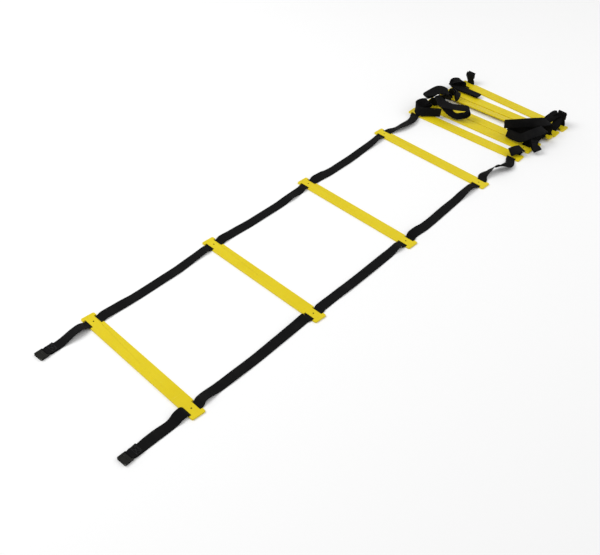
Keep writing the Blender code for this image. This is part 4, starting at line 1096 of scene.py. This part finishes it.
# ---------------------------------------------------------------- far tails
FAR_TAILS = {
    1: (
        (0.0122, STRAP_Z, 0.0), (0.0143, STRAP_Z + 0.0010, 0.0), (0.0158, 0.0065, 0.0), (0.0150, 0.0160, 0.0030),
        (0.0122, 0.0260, 0.0065), (0.0108, 0.0330, 0.0090), (0.0128, 0.0392, 0.0090), (0.0175, 0.0408, 0.0090),
        (0.0208, 0.0380, 0.0090), (0.02213, 0.0345, 0.0090),
    ),
    -1: (
        (0.0122, STRAP_Z, 0.0), (0.0143, STRAP_Z + 0.0010, 0.0), (0.0158, 0.0065, 0.0), (0.0150, 0.0160, 0.0020),
        (0.0120, 0.0290, 0.0045), (0.0105, 0.0420, 0.0065), (0.0128, 0.0495, 0.0065), (0.0172, 0.0500, 0.0065),
        (0.0206, 0.0430, 0.0065), (0.02213, 0.0345, 0.0065),
    ),
}
PLUG_BAR = (0.0245, 0.0316)  # across and up from the last rung's middle


def plug_bar(side):
    return on_rung(10, PLUG_BAR[0], side * SLOT_Y + FAR_TAILS[side][-1][2], PLUG_BAR[1])


def far_tail_rows(side):
    middle = side * SLOT_Y
    line = rung_line(10)
    rows = [row(*on_rung(10, u, middle, STRAP_Z), w=line) for u in (0.0, 0.0060)]
    for across, up, along in FAR_TAILS[side]:
        width = WEB_AT_BAR if across > 0.0212 else WEB_WIDTH
        rows.append(row(*on_rung(10, across, middle + along, up), w=line, width=width))
    rows = smooth_rows(rows, 12).tolist()
    along = middle + FAR_TAILS[side][-1][2]
    across0, up0 = PLUG_BAR
    for i in range(25):
        angle = math.pi + math.pi * i / 24
        around = (across0 + BAR_LOOP_R * math.cos(angle), along, up0 + BAR_LOOP_R * math.sin(angle))
        rows.append(row(*on_rung(10, *around), w=line, width=WEB_AT_BAR))
    for across, up, width in (
        (across0 + BAR_LOOP_R, up0 + 0.0025, WEB_AT_BAR), (across0 + 0.0020, up0 + 0.0060, WEB_WIDTH), (across0 + 0.0010, up0 + 0.0095, WEB_WIDTH),
    ):
        rows.append(row(*on_rung(10, across, along, up), w=line, width=width))
    return np.array(rows)

for side in (1, -1):
    s = NAMES[side]
    tail = webbing(f"web_tail_far_{s}", even_rows(far_tail_rows(side), blur=0.0006))
    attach(tail, "rung_10_gathered")
    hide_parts(f"far_tail_strap_{s}")


# ---------------------------------------------------------------- buckles
def web_end_cutters(name):
    half = WEB_AT_BAR / 2 + 0.0003
    cutters = []
    for sign in (1, -1):
        outline = [(-0.01, 0.0)]
        for i in range(13):
            angle = math.pi - math.pi * i / 12
            outline.append((BAR_R * math.cos(angle), sign * BAR_R * math.sin(angle)))
        outline += [(SLOT_FAR, 0.0), (SLOT_FAR, sign * 0.02), (-0.01, sign * 0.02)]
        cutters.append(prism_mesh(f"{name}_bar_{sign}", outline, -half, half, axis="y"))
    return cutters


def socket_mesh():
    half_w, half_t = BUCKLE_WIDTH / 2, BUCKLE_THICK / 2
    shell = prism_mesh(
        "socket_shell",
        [(u + (SOCKET_REACH - BAR_R) / 2, v) for u, v in rounded_rectangle((SOCKET_REACH + BAR_R) / 2, half_w, 0.0016, 5)],
        -half_t, half_t,
    )
    cutters = web_end_cutters("socket")
    cutters.append(box_mesh("pocket", (0.0078, -0.0095, -0.0018), (0.04, 0.0095, 0.0018)))
    cutters.append(box_mesh("windows", (0.0120, -0.03, -0.0018), (0.0185, 0.03, 0.0018)))
    cutters.append(box_mesh("panel", (0.0108, -0.0092, half_t - 0.0009), (0.04, 0.0092, 0.02)))
    for sign in (1, -1):
        low, high = sorted((sign * 0.0016, sign * 0.02))
        cutters.append(box_mesh(f"bar_relief_{sign}", (-0.01, -0.03, low), (BAR_R + 0.0006, 0.03, high)))

    def rim(p, edge):
        return p.z > half_t - 1e-4 and ((p.x > 0.0100 and abs(p.y) < 0.0100) or abs(p.x - SLOT_FAR) < 2e-4)

    def every(p, edge):
        return abs(p.z) > half_t - 1e-4

    def rest(p, edge):
        return True

    mesh = carved("socket", shell, cutters, bevels=[(rim, 0.00070, 3), (every, 0.00040, 3), (rest, 0.00020, 3)])
    return finish_hard(mesh, 50)


def plug_mesh():
    half_w = BUCKLE_WIDTH / 2
    upper = [
        (0.0110, half_w), (0.0118, 0.0115), (0.0190, 0.0094), (0.0200, 0.0115), (0.0222, 0.0113),
        (0.0295, 0.0089), (0.0303, 0.0071), (0.0160, 0.0066), (0.0140, 0.0046), (0.0140, 0.0020),
        (0.0285, 0.0017), (0.0293, 0.0008),
    ]
    outline = [(-BAR_R, half_w)] + upper + [(x, -y) for x, y in reversed(upper)] + [(-BAR_R, -half_w)]
    comb = prism_mesh("plug_comb", outline[::-1], -0.0015, 0.0015)
    body = box_mesh("plug_body", (0.0050, -half_w + 0.0004, -0.0027), (0.0112, half_w - 0.0004, 0.0027))

    def rest(p, edge):
        return True

    mesh = carved("plug", comb, web_end_cutters("plug"), [body], bevels=[(rest, 0.00025, 3)])
    return finish_hard(mesh, 50)


socket_master, plug_master = socket_mesh(), plug_mesh()
for side in (1, -1):
    s = NAMES[side]
    obj = link(f"socket_{s}", socket_master, LOOK_BUCKLE)
    obj.matrix_world = Matrix.Translation((BAR_X[side] - ORIGIN[0], bar_y(side) - ORIGIN[1], BUCKLE_THICK / 2)) @ Matrix.Rotation(math.pi, 4, "Z")
    weigh_normals(obj)
    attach(obj, f"socket_{s}")
    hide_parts(f"buckle_socket_{s}")
    obj = link(f"plug_{s}", plug_master, LOOK_BUCKLE)
    bar = plug_bar(side)
    obj.matrix_world = Matrix.Translation(at(bar)) @ Matrix.Rotation(RUNGS[9][2], 4, "Z") @ Matrix.Rotation(math.pi / 2, 4, "Y")
    weigh_normals(obj)
    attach(obj, f"plug_{s}")
    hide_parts(f"buckle_plug_{s}")


# ---------------------------------------------------------------- floor and light
def floor_material():
    made, tree, shader = new_material("pale_floor")
    shader.inputs["Base Color"].default_value = (0.93, 0.93, 0.93, 1.0)
    shader.inputs["Roughness"].default_value = 0.9
    shader.inputs["Specular IOR Level"].default_value = 0.1
    return made


floor_mesh = bpy.data.meshes.new("floor")
floor_mesh.from_pydata([(-14, -14, 0), (14, -14, 0), (14, 14, 0), (-14, 14, 0)], [], [(0, 1, 2, 3)])
floor = link("floor", floor_mesh, floor_material())
floor.location.z = -0.0001


def area_light(name, where, aim, size, power):
    data = bpy.data.lights.new(name, "AREA")
    data.shape = "DISK"
    data.size = size
    data.energy = power
    lamp = bpy.data.objects.new(name, data)
    bpy.context.scene.collection.objects.link(lamp)
    lamp.location = where
    lamp.rotation_mode = "QUATERNION"
    lamp.rotation_quaternion = (Vector(aim) - Vector(where)).to_track_quat("-Z", "Y")
    return lamp


area_light("key", (-1.6, 2.2, 3.2), (0.1, 0.0, 0.0), 2.6, 88)
area_light("fill", (2.6, -1.6, 3.0), (0.0, 0.0, 0.0), 3.4, 36)
world = bpy.data.worlds.new("world")
world.use_nodes = True
world.node_tree.nodes["Background"].inputs["Color"].default_value = (1.0, 1.0, 1.0, 1.0)
world.node_tree.nodes["Background"].inputs["Strength"].default_value = 0.62
bpy.context.scene.world = world
bpy.context.scene.view_settings.view_transform = "Standard"
